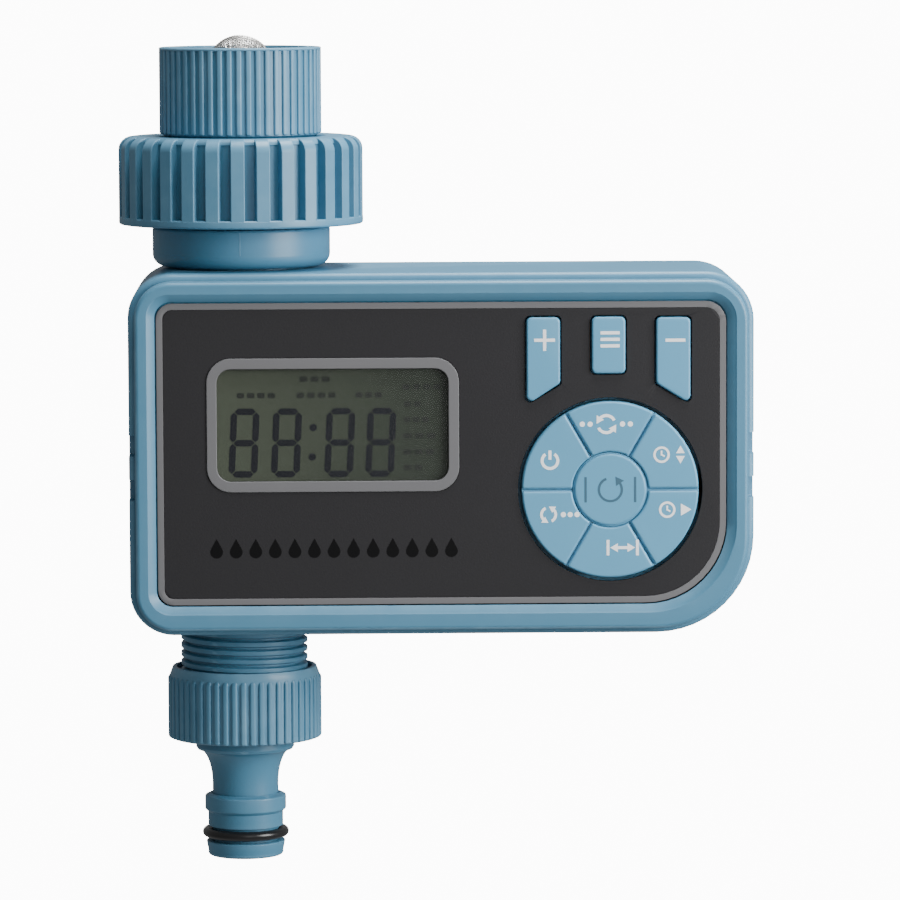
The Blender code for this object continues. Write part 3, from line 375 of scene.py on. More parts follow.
def settled(name, source, material):
    """The evaluated mesh of an object with modifiers, with its place applied; the source is removed."""
    bpy.context.view_layer.update()
    evaluated = source.evaluated_get(bpy.context.evaluated_depsgraph_get())
    mesh = bpy.data.meshes.new_from_object(evaluated)
    mesh.transform(source.matrix_world)
    bpy.data.objects.remove(source)
    mesh.name = name
    return put_in_scene(name, mesh, material)


def shade(piece, degrees=32):
    """Smooth shading with sharp edges kept, each corner's normal leaning to its largest face."""
    piece.data.shade_smooth()
    piece.data.set_sharp_from_angle(angle=math.radians(degrees))
    lean = piece.modifiers.new("lean", "WEIGHTED_NORMAL")
    lean.mode, lean.weight, lean.keep_sharp = "FACE_AREA", 100, True
    bpy.context.view_layer.update()
    settled_mesh = bpy.data.meshes.new_from_object(piece.evaluated_get(bpy.context.evaluated_depsgraph_get()))
    piece.modifiers.clear()
    piece.data = settled_mesh
    return piece


def rounded(corners, radii, steps=10):
    """A clockwise polygon's points with each corner turned into an arc."""
    points = []
    for i, corner in enumerate(corners):
        here = Vector(corner)
        to_last = (Vector(corners[i - 1]) - here).normalized()
        to_next = (Vector(corners[(i + 1) % len(corners)]) - here).normalized()
        half = to_last.angle(to_next) / 2
        centre = here + (to_last + to_next).normalized() * radii[i] / math.sin(half)
        start = here + to_last * radii[i] / math.tan(half) - centre
        for k in range(steps + 1):
            turn = Matrix.Rotation(-(math.pi - 2 * half) * k / steps, 2)
            points.append(tuple(centre + turn @ start))
    return points


def rectangle(left, right, top, bottom, radii, steps=10):
    return rounded(((left, top), (right, top), (right, bottom), (left, bottom)), radii, steps)


def body_outline(inset, steps=12):
    radii = [max(radius - inset, 0.4) for radius in BODY_RADII]
    return rectangle(BODY_LEFT + inset, BODY_RIGHT - inset, BODY_TOP - inset, BODY_BOTTOM + inset, radii, steps)


def panel_outline(inset, steps=12):
    radii = [max(radius - inset, 0.4) for radius in PANEL_RADII]
    return rectangle(PANEL_LEFT + inset, PANEL_RIGHT - inset, PANEL_TOP - inset, PANEL_BOTTOM + inset, radii, steps)


def circle(x, z, radius, steps=72):
    return [(x + radius * math.cos(2 * math.pi * k / steps), z - radius * math.sin(2 * math.pi * k / steps))
            for k in range(steps)]


def arc(centre, radius, start, end, steps=6):
    """Points of an arc in a profile's plane, angles in degrees."""
    angles = [math.radians(start + (end - start) * k / steps) for k in range(steps + 1)]
    return [(centre[0] + radius * math.cos(a), centre[1] + radius * math.sin(a)) for a in angles]


# %% Stacked sections
def stacked(name, sections, material, closed_ends=True):
    """A solid from outlines of equal length, each at its own y, joined in order; ends are capped or joined."""
    work = bmesh.new()
    rings = [[work.verts.new((x * MM, y * MM, z * MM)) for x, z in outline] for outline, y in sections]
    pairs = list(zip(rings, rings[1:]))
    if closed_ends:
        work.faces.new(rings[0])
        work.faces.new(list(reversed(rings[-1])))
    else:
        pairs.append((rings[-1], rings[0]))
    for first, second in pairs:
        for i in range(len(first)):
            j = (i + 1) % len(first)
            work.faces.new((first[i], second[i], second[j], first[j]))
    bmesh.ops.recalc_face_normals(work, faces=work.faces)
    mesh = bpy.data.meshes.new(name)
    work.to_mesh(mesh)
    work.free()
    return shade(put_in_scene(name, mesh, material))


# %% Turned profiles
def turned(name, profile, material, steps=128, closed=True):
    """A profile of (radius, z), down its outside and back up its inside, turned about the waterway's axis."""
    work = bmesh.new()
    rings = []
    for radius, z in profile:
        if radius < 1e-6:
            rings.append([work.verts.new((0, 0, z * MM))])
            continue
        angles = [2 * math.pi * k / steps for k in range(steps)]
        rings.append([work.verts.new((radius * math.cos(a) * MM, radius * math.sin(a) * MM, z * MM)) for a in angles])
    pairs = list(zip(rings, rings[1:]))
    if closed:
        pairs.append((rings[-1], rings[0]))
    for first, second in pairs:
        for i in range(steps):
            j = (i + 1) % steps
            corners = [first[i % len(first)], second[i % len(second)], second[j % len(second)], first[j % len(first)]]
            unique = list(dict.fromkeys(corners))
            if len(unique) > 2:
                work.faces.new(unique)
    bmesh.ops.recalc_face_normals(work, faces=work.faces)
    mesh = bpy.data.meshes.new(name)
    work.to_mesh(mesh)
    work.free()
    return shade(put_in_scene(name, mesh, material))


# %% Flat shapes with softened edges
def plate(name, outlines, front_y, back_y, material, edge=0.0, segments=3):
    """An outline with holes, given thickness along Y, its rims rounded by edge."""
    curve = bpy.data.curves.new(name, "CURVE")
    curve.dimensions = "2D"
    curve.fill_mode = "BOTH"
    curve.extrude = (back_y - front_y) / 2 * MM
    for outline in outlines:
        spline = curve.splines.new("POLY")
        spline.points.add(len(outline) - 1)
        for point, (x, z) in zip(spline.points, outline):
            point.co = (x * MM, z * MM, 0, 1)
        spline.use_cyclic_u = True
    flat = bpy.data.objects.new(name, curve)
    bpy.context.scene.collection.objects.link(flat)
    flat.matrix_world = Matrix.Translation((0, (front_y + back_y) / 2 * MM, 0)) @ Matrix.Rotation(math.pi / 2, 4, "X")
    solid = settled(name, flat, material)
    work = bmesh.new()
    work.from_mesh(solid.data)
    bmesh.ops.remove_doubles(work, verts=work.verts, dist=1e-7)
    bmesh.ops.dissolve_limit(work, angle_limit=math.radians(1), verts=work.verts, edges=work.edges)
    bmesh.ops.recalc_face_normals(work, faces=work.faces)
    if edge:
        rims = [e for e in work.edges if len(e.link_faces) == 2 and e.calc_face_angle() > math.radians(60)]
        bmesh.ops.bevel(work, geom=rims, offset=edge * MM, segments=segments, profile=0.5, affect="EDGES")
    bmesh.ops.triangulate(work, faces=[f for f in work.faces if len(f.verts) > 4])
    work.to_mesh(solid.data)
    work.free()
    return shade(solid)


print("helpers ready")

# %% [markdown]
# ## Rings of ribs
# The nut's grips and the fine grips of the adaptor and hose connector are one rib repeated round the axis, so a
# Geometry Nodes tree repeats it: points at the axis, each turned by its share of a full turn, carry the rib.

# %% How every tree starts and ends
def start_tree(name, **sockets):
    """A tree with named inputs, such as First_Angle="Float", and what adds, links and reads its nodes."""
    tree = bpy.data.node_groups.new(name, "GeometryNodeTree")
    for title, kind in {"Geometry": "Geometry", **sockets, "Material": "Material"}.items():
        tree.interface.new_socket(title.replace("_", " "), in_out="INPUT", socket_type=f"NodeSocket{kind}")
    tree.interface.new_socket("Geometry", in_out="OUTPUT", socket_type="NodeSocketGeometry")
    return tree, tree.nodes.new, tree.links.new, tree.nodes.new("NodeGroupInput")


def end_tree(tree, given, last):
    """Makes the instances real, sets the material and hands the geometry out."""
    new, link = tree.nodes.new, tree.links.new
    real, paint, out = (new(kind) for kind in (
        "GeometryNodeRealizeInstances", "GeometryNodeSetMaterial", "NodeGroupOutput"))
    link(last.outputs[0], real.inputs[0])
    link(real.outputs[0], paint.inputs["Geometry"])
    link(given.outputs["Material"], paint.inputs["Material"])
    link(paint.outputs[0], out.inputs[0])
    return tree


# %% Ring tree
def make_ring_tree():
    tree, new, link, given = start_tree("ring_of_ribs", Rib="Object", Count="Int", First_Angle="Float")
    points = new("GeometryNodePoints")
    link(given.outputs["Count"], points.inputs["Count"])
    index = new("GeometryNodeInputIndex")
    step, share, turn = (new("ShaderNodeMath") for _ in range(3))
    step.operation, share.operation, turn.operation = "DIVIDE", "MULTIPLY", "ADD"
    step.inputs[0].default_value = 2 * math.pi
    link(given.outputs["Count"], step.inputs[1])
    link(index.outputs[0], share.inputs[0])
    link(step.outputs[0], share.inputs[1])
    link(share.outputs[0], turn.inputs[0])
    link(given.outputs["First Angle"], turn.inputs[1])
    rotation = new("ShaderNodeCombineXYZ")
    link(turn.outputs[0], rotation.inputs["Z"])
    rib = new("GeometryNodeObjectInfo")
    link(given.outputs["Rib"], rib.inputs["Object"])
    instances = new("GeometryNodeInstanceOnPoints")
    link(points.outputs[0], instances.inputs["Points"])
    link(rib.outputs["Geometry"], instances.inputs["Instance"])
    link(rotation.outputs[0], instances.inputs["Rotation"])
    return end_tree(tree, given, instances)


RING_TREE = make_ring_tree()


def socket_id(tree, name):
    return next(item.identifier for item in tree.interface.items_tree
                if item.name == name and item.in_out == "INPUT")


def grown(name, tree, material, **values):
    """Runs a tree on an empty mesh and keeps the result as a plain mesh piece."""
    host = bpy.data.objects.new(name, bpy.data.meshes.new(name))
    bpy.context.scene.collection.objects.link(host)
    modifier = host.modifiers.new("grow", "NODES")
    modifier.node_group = tree
    for key, value in values.items():
        modifier[socket_id(tree, key.replace("_", " "))] = value
    modifier[socket_id(tree, "Material")] = material
    return settled(name, host, material)


def ring_of(name, profile, width, edge, count, material, first_angle=0.0):
    """Copies of one rib round the axis: a profile of (radius, z) given its width along Y, with softened edges."""
    rib = plate(f"{name}_one", [profile], -width / 2, width / 2, None, edge)
    ring = grown(name, RING_TREE, material, Rib=rib, Count=count, First_Angle=first_angle)
    bpy.data.objects.remove(rib)
    return shade(ring)


print("ring tree ready")

# %% [markdown]
# ## Threads
# A thread follows a path, a helix round the waterway. The second tree sweeps a trapezoid with softened corners
# along a spiral curve, with its normals kept level so that the section never twists. Two threads that screw
# together start half a pitch apart, so that the ridge of one runs in the groove of the other.

# %% Thread tree
def make_thread_tree():
    sizes = ("Radius", "Bottom", "Rise", "Turns", "Root_Width", "Crest_Width", "Height", "Softness", "Facing")
    tree, new, link, given = start_tree("thread_ridge", **dict.fromkeys(sizes, "Float"))
    spiral = new("GeometryNodeCurveSpiral")
    spiral.inputs["Resolution"].default_value = 96
    link(given.outputs["Turns"], spiral.inputs["Rotations"])
    link(given.outputs["Radius"], spiral.inputs["Start Radius"])
    link(given.outputs["Radius"], spiral.inputs["End Radius"])
    link(given.outputs["Rise"], spiral.inputs["Height"])
    spiral.inputs["Reverse"].default_value = False
    level = new("GeometryNodeSetCurveNormal")
    level.mode = "Z_UP"
    link(spiral.outputs[0], level.inputs["Curve"])
    section = new("GeometryNodeCurvePrimitiveQuadrilateral")
    section.mode = "TRAPEZOID"
    link(given.outputs["Root Width"], section.inputs["Bottom Width"])
    link(given.outputs["Crest Width"], section.inputs["Top Width"])
    link(given.outputs["Height"], section.inputs["Height"])
    section.inputs["Offset"].default_value = 0
    sweep = new("GeometryNodeCurveToMesh")
    sweep.inputs["Fill Caps"].default_value = True
    link(level.outputs[0], sweep.inputs["Curve"])
    soften = new("GeometryNodeFilletCurve")
    soften.mode = "POLY"
    soften.inputs["Count"].default_value = 3
    link(given.outputs["Softness"], soften.inputs["Radius"])
    link(section.outputs[0], soften.inputs["Curve"])
    lay, angle = new("GeometryNodeTransform"), new("ShaderNodeCombineXYZ")
    link(given.outputs["Facing"], angle.inputs["Z"])
    link(angle.outputs[0], lay.inputs["Rotation"])
    link(soften.outputs[0], lay.inputs["Geometry"])
    link(lay.outputs[0], sweep.inputs["Profile Curve"])
    move = new("GeometryNodeTransform")
    place = new("ShaderNodeCombineXYZ")
    link(given.outputs["Bottom"], place.inputs["Z"])
    link(place.outputs[0], move.inputs["Translation"])
    link(sweep.outputs[0], move.inputs["Geometry"])
    return end_tree(tree, given, move)


THREAD_TREE = make_thread_tree()
FACE_OUT = math.pi / 2          # turns the section's narrow side away from the axis
ADAPTOR_THREAD_FOOT, NUT_THREAD_FOOT = -25.48, -31.25
OUTLET_THREAD_FOOT, CONNECTOR_THREAD_FOOT = -138.2, -139.107


def thread(name, root_r, crest_r, pitch, bottom, turns, material, root_width=0.9, crest_width=0.5):
    """A right-hand ridge from root_r to crest_r; a crest inside the root makes an internal thread."""
    high = abs(crest_r - root_r)
    facing = FACE_OUT if crest_r > root_r else -FACE_OUT
    ridge = grown(name, THREAD_TREE, material, Radius=(root_r + crest_r) / 2 * MM, Bottom=bottom * MM,
                  Rise=pitch * turns * MM, Turns=float(turns), Root_Width=root_width * pitch * MM,
                  Crest_Width=crest_width * pitch * MM, Height=high * MM, Facing=facing,
                  Softness=min(0.2, 0.4 * crest_width * pitch, 0.3 * high) * MM)
    return shade(ridge, 50)


print("thread tree ready")

# %% [markdown]
# ## Rear housing
# A deep moulded tub. Its front rim is rounded where the control module sits in it, its back edges are rounded
# more, and two small grips on each side let a finger pull the module off.

# %% Rear housing
def rear_housing():
    rim, back, floor = RIM_Y, BACK_Y, BACK_Y - WALL
    outer = [(2.1, rim), (1.15, rim)]
    outer += [(1.15 - 1.15 * math.sin(math.radians(a)), rim + 1.15 - 1.15 * math.cos(math.radians(a)))
              for a in (18, 36, 54, 72, 90)]
    fillet = [math.radians(a) for a in range(0, 91, 10)]
    outer += [(BACK_FILLET * (1 - math.cos(a)), back - BACK_FILLET + BACK_FILLET * math.sin(a)) for a in fillet]
    inner_r = BACK_FILLET - WALL
    inner = [(WALL + inner_r * (1 - math.cos(a)), floor - inner_r + inner_r * math.sin(a)) for a in reversed(fillet)]
    sections = [(body_outline(inset), y) for inset, y in [*reversed(outer), (WALL, rim + 0.3), *reversed(inner)]]
    shell = stacked("housing_shell", sections, CASING_BLUE)
    cuts = []
    for edge_x, side in ((BODY_LEFT, -1), (BODY_RIGHT, 1)):
        for end in (-1, 1):
            near, far = 2.35 * end, 6.7 * end
            low, high = sorted((-85.3 + near, -85.3 + far))
            inner_x = edge_x - side * 1.5
            x_low, x_high = sorted((inner_x, edge_x + side * 3))
            notch = rectangle(x_low, x_high, high, low, [0.5] * 4, 3)
            cuts.append(plate("cut", [notch], rim - 2, rim + 4, None, 0.4))
    cuts.append(turned("cut", [(14.3, BODY_TOP + 3), (14.3, BODY_TOP - 4), (0, BODY_TOP - 4), (0, BODY_TOP + 3)],
                       None, 64, False))
    cuts.append(turned("cut", [(13.8, BODY_BOTTOM + 4), (13.8, BODY_BOTTOM - 3), (0, BODY_BOTTOM - 3),
                               (0, BODY_BOTTOM + 4)], None, 64, False))
    for cut in cuts:
        modifier = shell.modifiers.new("cut", "BOOLEAN")
        modifier.operation = "DIFFERENCE"
        modifier.object = cut
    done = settled("housing_shell", shell, CASING_BLUE)
    for cut in cuts:
        bpy.data.objects.remove(cut)
    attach(shade(done, 22), "housing")
    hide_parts("rear_housing")
    return done


housing = rear_housing()
print("housing_shell", len(housing.data.polygons), "faces")

# %% [markdown]
# ## Control bezel
# The frame of the control module: a flat ring with a softly rounded outer edge, a sloping inner wall that leads
# the eye down to the panel, and a skirt that plugs into the housing. A floor behind the panel carries the keys.

# %% Control bezel
BEZEL_INSET, SKIRT_INSET, CAVITY_INSET = 1.45, 3.3, 5.3
RING_INNER = (-18.65, 100.8, -49.8, -114.76)
RECESS = (-17.28, 99.2, -51.1, -113.36)


def control_bezel():
    back = RIM_Y - 0.3
    mouth = rectangle(*RING_INNER, [4.4, 5.4, 17.6, 4.4], 12)
    lip = rectangle(*(value + step for value, step in zip(RING_INNER, (-0.3, 0.3, 0.3, -0.3))),
                    [4.6, 5.6, 17.8, 4.6], 12)
    recess = rectangle(*RECESS, [3.3, 4.3, 16.6, 3.3], 12)
    sections = [(body_outline(SKIRT_INSET), SKIRT_BACK_Y), (body_outline(SKIRT_INSET), back),
                (body_outline(BEZEL_INSET), back)]
    for a in range(0, 91, 10):
        a = math.radians(a)
        sections.append((body_outline(BEZEL_INSET + 0.9 * (1 - math.cos(a))), FRONT_Y + 0.9 * (1 - math.sin(a))))
    sections += [(lip, FRONT_Y), (mouth, FRONT_Y + 0.2), (recess, PANEL_FRONT_Y + 0.05), (recess, PANEL_BACK_Y + 0.1),
                 (body_outline(CAVITY_INSET + 0.6), PANEL_BACK_Y + 0.1), (body_outline(CAVITY_INSET + 0.6), -25.6),
                 (body_outline(CAVITY_INSET), -25.6), (body_outline(CAVITY_INSET), SKIRT_BACK_Y)]
    ring = shade(stacked("bezel_ring", sections, CASING_BLUE, closed_ends=False), 14)
    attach(ring, "control_module")
    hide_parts("control_bezel")
    return ring


bezel = control_bezel()
print("bezel_ring", len(bezel.data.polygons), "faces")

# %% [markdown]
# ## Panel and display frame
# The panel is a printed sheet with a fine matt grain and a grey border; the display frame is a slightly raised
# grey ring. The holes for the keys leave a narrow dark gap round each key.

# %% Panel
DISC_X = (span("off_key")[0] + span("start_time_key")[3]) / 2
DISC_Z = (span("auto_key")[5] + span("how_long_key")[2]) / 2
DISC_R, DISC_APERTURE_R = 18.0, 18.8
LCD_LEFT, LCD_FRONT_Y, LCD_BOTTOM, LCD_RIGHT, LCD_BACK_Y, LCD_TOP = span("lcd_frame")
WINDOW = (-4.79, 42.38, -64.84, -87.8)
PLUS = (65.13, 58.3, -54.55, -68.0, -72.4)
MINUS = (84.7, 91.65, -54.65, -68.1, -72.4)
MODE = (71.59, 78.42, -54.5, -66.06)


def arrow_outline(short_x, tall_x, top, short, tall, by=0.0, radius=1.0):
    low, high = sorted((short_x, tall_x))
    foot = {short_x: short, tall_x: tall}
    corners = ((low - by, top + by), (high + by, top + by), (high + by, foot[high] - by), (low - by, foot[low] - by))
    return rounded(corners, [radius] * 4, 6)


def wider(area, by, radius, steps=6):
    left, right, top, bottom = area
    return rectangle(left - by, right + by, top + by, bottom - by, [radius] * 4, steps)


def panel():
    holes = [arrow_outline(*PLUS, 0.3), wider(MODE, 0.3, 1.1), arrow_outline(*MINUS, 0.3),
             circle(DISC_X, DISC_Z, DISC_APERTURE_R, 96)]
    frame_hole = rectangle(LCD_LEFT - 0.05, LCD_RIGHT + 0.05, LCD_TOP + 0.05, LCD_BOTTOM - 0.05, [5.0] * 4, 8)
    border = 1.33
    sheet = plate("panel_sheet", [panel_outline(border), frame_hole, *holes], PANEL_FRONT_Y + 0.06, PANEL_BACK_Y,
                  PANEL_CHARCOAL, 0.12, 2)
    rim = plate("panel_border", [panel_outline(0), panel_outline(border - 0.02)], PANEL_FRONT_Y, PANEL_BACK_Y,
                BORDER_GREY, 0.1, 2)
    lcd = plate("display_frame", [rectangle(LCD_LEFT, LCD_RIGHT, LCD_TOP, LCD_BOTTOM, [5.0] * 4, 10),
                                  wider(WINDOW, 0, 2.8)], LCD_FRONT_Y, LCD_BACK_Y, BORDER_GREY, 0.15, 3)
    for piece, node, slot in ((sheet, "panel_overlay", "charcoal"), (rim, None, "grey"), (lcd, "lcd_frame", "grey")):
        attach(piece, "control_module")
        if node:
            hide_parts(node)
    return sheet


sheet = panel()
print("panel_sheet", len(sheet.data.polygons), "faces")

# %% [markdown]
# ## Keys
# Each key is its own cap with rounded edges, so each can ride on its own body and travel when pressed. The round
# keypad is six sectors with parallel gaps round a centre key.

# %% Keys
KEY_EDGE = 0.45


def sector_outline(middle, inner_r=7.75, outer_r=DISC_R, gap=0.5, steps=16):
    points = []
    for radius, sign in ((outer_r, -1), (inner_r, 1)):
        half = math.radians(30) - math.asin(gap / 2 / radius)
        for k in range(steps + 1):
            angle = math.radians(middle) + sign * half * (2 * k / steps - 1)
            points.append((DISC_X + radius * math.cos(angle), DISC_Z + radius * math.sin(angle)))
    return points


def key(name, outline, foot=None, groove=0.75):
    """A cap with rounded edges; a wider foot just below its top closes the groove to its neighbours."""
    _, front, _, _, back, _ = span(name)
    cap = plate(f"{name}_cap", [outline], front, front + 3.3, KEY_BLUE, KEY_EDGE, 4)
    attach(cap, name)
    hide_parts(name)
    if foot:
        base = plate(f"{name}_foot", [foot], front + groove, front + 3.3, KEY_BLUE, 0.08, 2)
        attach(base, name)
    return cap


key("plus_key", arrow_outline(*PLUS))
key("mode_key", wider(MODE, 0, 1.0))
key("minus_key", arrow_outline(*MINUS))
key("reset_key", circle(DISC_X, DISC_Z, 7.35, 96), circle(DISC_X, DISC_Z, 7.6, 96), 0.5)
SECTORS = {"auto_key": 90, "set_clock_key": 30, "start_time_key": -30, "how_long_key": -90,
           "how_often_key": 210, "off_key": 150}
for name, angle in SECTORS.items():
    key(name, sector_outline(angle), sector_outline(angle, 7.68, DISC_R + 0.05, 0.06))
print("keys:", len(SECTORS) + 4)

# %% [markdown]
# ## Swivel nut
# A solid core with thirty square-edged ribs. The ribs run out through the chamfer at the top and end on a plain
# band at the bottom, which the tree's single rib profile follows.

# %% Swivel nut
_, _, NUT_BOTTOM, NUT_RIGHT, NUT_BACK, NUT_TOP = span("swivel_nut")
NUT_R = min(NUT_RIGHT, NUT_BACK)
FLOOR_R = NUT_R - 2.1


def swivel_nut():
    band = NUT_BOTTOM + 1.7
    core = turned("nut_core", [
        (17.4, NUT_TOP - 0.3), (17.7, NUT_TOP), (22.6, NUT_TOP), *arc((22.3, NUT_TOP - 1.1), 1.1, 70, 0, 3),
        (FLOOR_R, NUT_TOP - 1.3), (FLOOR_R, band), (NUT_R - 0.25, band),
        (NUT_R, band - 0.25), *arc((NUT_R - 0.5, NUT_BOTTOM + 0.5), 0.5, 0, -90, 4), (13.9, NUT_BOTTOM),
        (13.9, -33.6), (G1_CREST_R + 0.3, -33.6), (G1_CREST_R + 0.3, -19.8), (17.4, -19.2)], CASING_BLUE)
    shoulder = arc((NUT_R - 2.75, NUT_TOP - 2.7), 2.7, 90, 0, 6)
    ribs = ring_of("nut_ribs", [(FLOOR_R - 1.0, NUT_TOP), *shoulder, (NUT_R - 0.05, band - 0.6),
                                (FLOOR_R - 1.0, band - 0.6)], 2.85, 0.2, NUT_RIBS, CASING_BLUE, math.radians(5.5))
    inside = thread("nut_thread", G1_CREST_R + 0.35, G1_ROOT_R + 0.3, G1_PITCH, NUT_THREAD_FOOT, 4.4, CASING_BLUE)
    for piece in (core, ribs, inside):
        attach(piece, "swivel_nut")
    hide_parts("swivel_nut")
    return ribs


ribs = swivel_nut()
print("nut_ribs", len(ribs.data.polygons), "faces")

# %% [markdown]
# ## Tap adaptor
# A sleeve with fifty-two fine rounded grips under a plain rim. Its socket has the tap's thread inside.

# %% Tap adaptor
_, _, ADAPTOR_BOTTOM, ADAPTOR_R, _, RIM_Z = span("tap_adaptor")


def tap_adaptor():
    rim_low, root_r = RIM_Z - 0.55, ADAPTOR_R - 0.5
    core = turned("adaptor_sleeve", [
        (13.7, RIM_Z), *arc((ADAPTOR_R - 0.35, RIM_Z - 0.35), 0.35, 90, 0, 4), (ADAPTOR_R, rim_low + 0.2),
        (ADAPTOR_R - 0.15, rim_low), (root_r, rim_low - 0.1), (root_r, -18.0), (G1_ROOT_R, -18.6),
        (G1_ROOT_R, ADAPTOR_BOTTOM),
        (9.6, ADAPTOR_BOTTOM), (9.6, -15.2), (13.4, -15.2), (13.4, RIM_Z - 0.5)], CASING_BLUE)
    grips = ring_of("adaptor_grips", [(root_r - 0.6, rim_low + 0.3), (ADAPTOR_R - 0.05, rim_low + 0.3),
                                      (ADAPTOR_R - 0.05, -17.9), (root_r - 0.6, -17.9)],
                    1.15, 0.33, FINE_RIBS, CASING_BLUE)
    outside = thread("adaptor_thread", G1_ROOT_R - 0.1, G1_CREST_R, G1_PITCH, ADAPTOR_THREAD_FOOT, 2.3, CASING_BLUE)
    inside = thread("tap_thread", 13.45, 12.35, G34_PITCH, -13.6, 6.0, CASING_BLUE)
    for piece in (core, grips, outside, inside):
        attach(piece, "tap_adaptor")
    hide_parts("tap_adaptor")
    return grips


grips = tap_adaptor()
print("adaptor_grips", len(grips.data.polygons), "faces")

# %% [markdown]
# ## Valve body
# Only its collar and the outlet's thread show, but the whole pipe is made, since it can be seen when the control
# module is off and the connector is unscrewed.

# %% Valve body
def bar_outline(left, right, low, high, radius=0.05):
    return rectangle(left, right, high, low, [radius] * 4, 3)


_, _, _, COLLAR_R, _, SPIGOT_TOP = span("valve_body_upper")
_, _, OUTLET_END, _, _, _ = span("valve_body_lower")


def valve_body():
    upper = turned("valve_body_top", [
        (13.4, SPIGOT_TOP), (13.4, -31.3), (12.4, -31.3), (12.4, -33.5), (13.4, -33.5), (13.4, -37.2),
        (COLLAR_R - 0.6, -37.2), *arc((COLLAR_R - 0.6, -37.8), 0.6, 90, 0, 4), (COLLAR_R, -42.6),
        *arc((COLLAR_R - 2.6, -42.7), 2.6, 0, -90, 8), (14.0, -45.3), (14.0, -79.85), (10.6, -79.85),
        (10.6, -70.5), (9.0, -70.5),
        (9.0, SPIGOT_TOP)], CASING_BLUE)
    lower = turned("valve_body_bottom", [
        (14.0, -80.15), (14.0, -112.0), (G34_ROOT_R, -114.0), (G34_ROOT_R, OUTLET_END + 0.4),
        (G34_ROOT_R - 0.4, OUTLET_END), (9.0, OUTLET_END), (9.0, -89.5), (10.6, -89.5), (10.6, -80.15)], CASING_BLUE)
    seam = plate("collar_seam", [bar_outline(-0.09, 0.09, -42.4, -37.6)], -COLLAR_R - 0.05, -COLLAR_R + 0.3,
                 CASING_BLUE, 0.03, 2)
    ridge = thread("outlet_thread", G34_ROOT_R - 0.1, G34_CREST_R, G34_PITCH, OUTLET_THREAD_FOOT, 11.0,
                   CASING_BLUE)
    for piece, node in ((upper, "valve_body_upper"), (lower, "valve_body_lower"), (ridge, None), (seam, None)):
        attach(piece, "housing")
        if node:
            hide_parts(node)
    return ridge


ridge = valve_body()
print("outlet_thread", len(ridge.data.polygons), "faces")

# %% [markdown]
# ## Hose connector
# The ribbed collar screws to the outlet; below it the tail narrows in a concave throat to the ridge that a hose
# coupling's claws hold, and to the O-ring that seals in it.

# %% Hose connector
_, _, TIP, CONNECTOR_R, _, CONNECTOR_TOP = span("hose_connector")


def hose_connector():
    root_r = CONNECTOR_R - 0.5
    throat = [(10.0 - 3.1 * math.sin(a), -146.6 - 7.4 * (1 - math.cos(a)))
              for a in (math.radians(value) for value in range(0, 91, 9))]
    core = turned("connector_body", [
        (14.2, CONNECTOR_TOP), (15.0, CONNECTOR_TOP), (root_r, CONNECTOR_TOP - 1.5), (root_r, -143.9),
        (root_r - 0.3, -144.1),
        (10.2, -144.1), *arc((10.0, -146.0), 0.3, 30, -60, 3), *throat, (6.9, -155.7),
        *arc((7.3, -156.3), 0.4, 160, 90, 3), *arc((8.1, -156.7), 0.4, 90, 0, 3), *arc((8.1, -159.1), 0.4, 0, -60, 3),
        (7.85, -159.9), (7.85, -162.75), (6.9, -162.95), (6.9, -165.8), (8.1, -165.95),
        *arc((8.0, -166.2), 0.25, 60, 0, 2),
        (7.85, -168.2), *arc((7.2, -168.4), 0.7, 0, -90, 5), (4.6, TIP), (4.5, TIP + 0.1), (4.5, -141.4),
        (13.4, -141.4), (13.4, -131.2),
        (14.2, -130.2)], CASING_BLUE)
    grips = ring_of("connector_grips", [
        (root_r - 0.6, CONNECTOR_TOP - 1.2), (root_r - 0.3, CONNECTOR_TOP - 1.2),
        (CONNECTOR_R - 0.05, CONNECTOR_TOP - 2.4),
        (CONNECTOR_R - 0.05, -144.0), (root_r - 0.6, -144.0)], 1.3, 0.42, FINE_RIBS, CASING_BLUE)
    inside = thread("connector_thread", 13.45, G34_ROOT_R + 0.35, G34_PITCH, CONNECTOR_THREAD_FOOT, 4.2,
                    CASING_BLUE, 0.5, 0.2)
    for piece in (core, grips, inside):
        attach(piece, "hose_connector")
    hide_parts("hose_connector")
    return core


connector = hose_connector()
print("connector_body", len(connector.data.polygons), "faces")

# %% [markdown]
# ## Display
# The display is a grey-green glass sheet behind a clear window, with four slanted seven-segment figures. Each
# segment is a flat hexagon, so mitred gaps show where two meet. Small bars stand for the indicator words.

# %% Display finishes
def display_finish():
    result, nodes, shader = blank_material("display_glass")
    place = nodes.add("ShaderNodeTexCoord").outputs["Object"]
    parts = nodes.add("ShaderNodeSeparateXYZ", Vector=place)
    # Painted shading: the display is lighter at its left and darker towards its right, with cloudy patches.
    across = nodes.add("ShaderNodeMapRange", Value=parts.outputs["X"], **{"From Min": -0.005, "From Max": 0.042})
    cloud = nodes.add("ShaderNodeTexNoise", Vector=place, Scale=90.0, Detail=2.0)
    darker = nodes.math("ADD", across.outputs["Result"], nodes.math("MULTIPLY", cloud.outputs["Fac"], 0.25))
    colour = nodes.mix(darker, (0.085, 0.100, 0.070, 1), (0.034, 0.043, 0.032, 1))
    result.node_tree.links.new(colour, shader.inputs["Base Color"])
    fine = nodes.add("ShaderNodeTexNoise", Vector=place, Scale=3000.0)
    bump = nodes.add("ShaderNodeBump", Strength=0.1, Distance=0.00005, Height=fine.outputs["Fac"])
    result.node_tree.links.new(bump.outputs["Normal"], shader.inputs["Normal"])
    shader.inputs["Roughness"].default_value = 0.5
    shader.inputs["Specular IOR Level"].default_value = 0.2
    return result


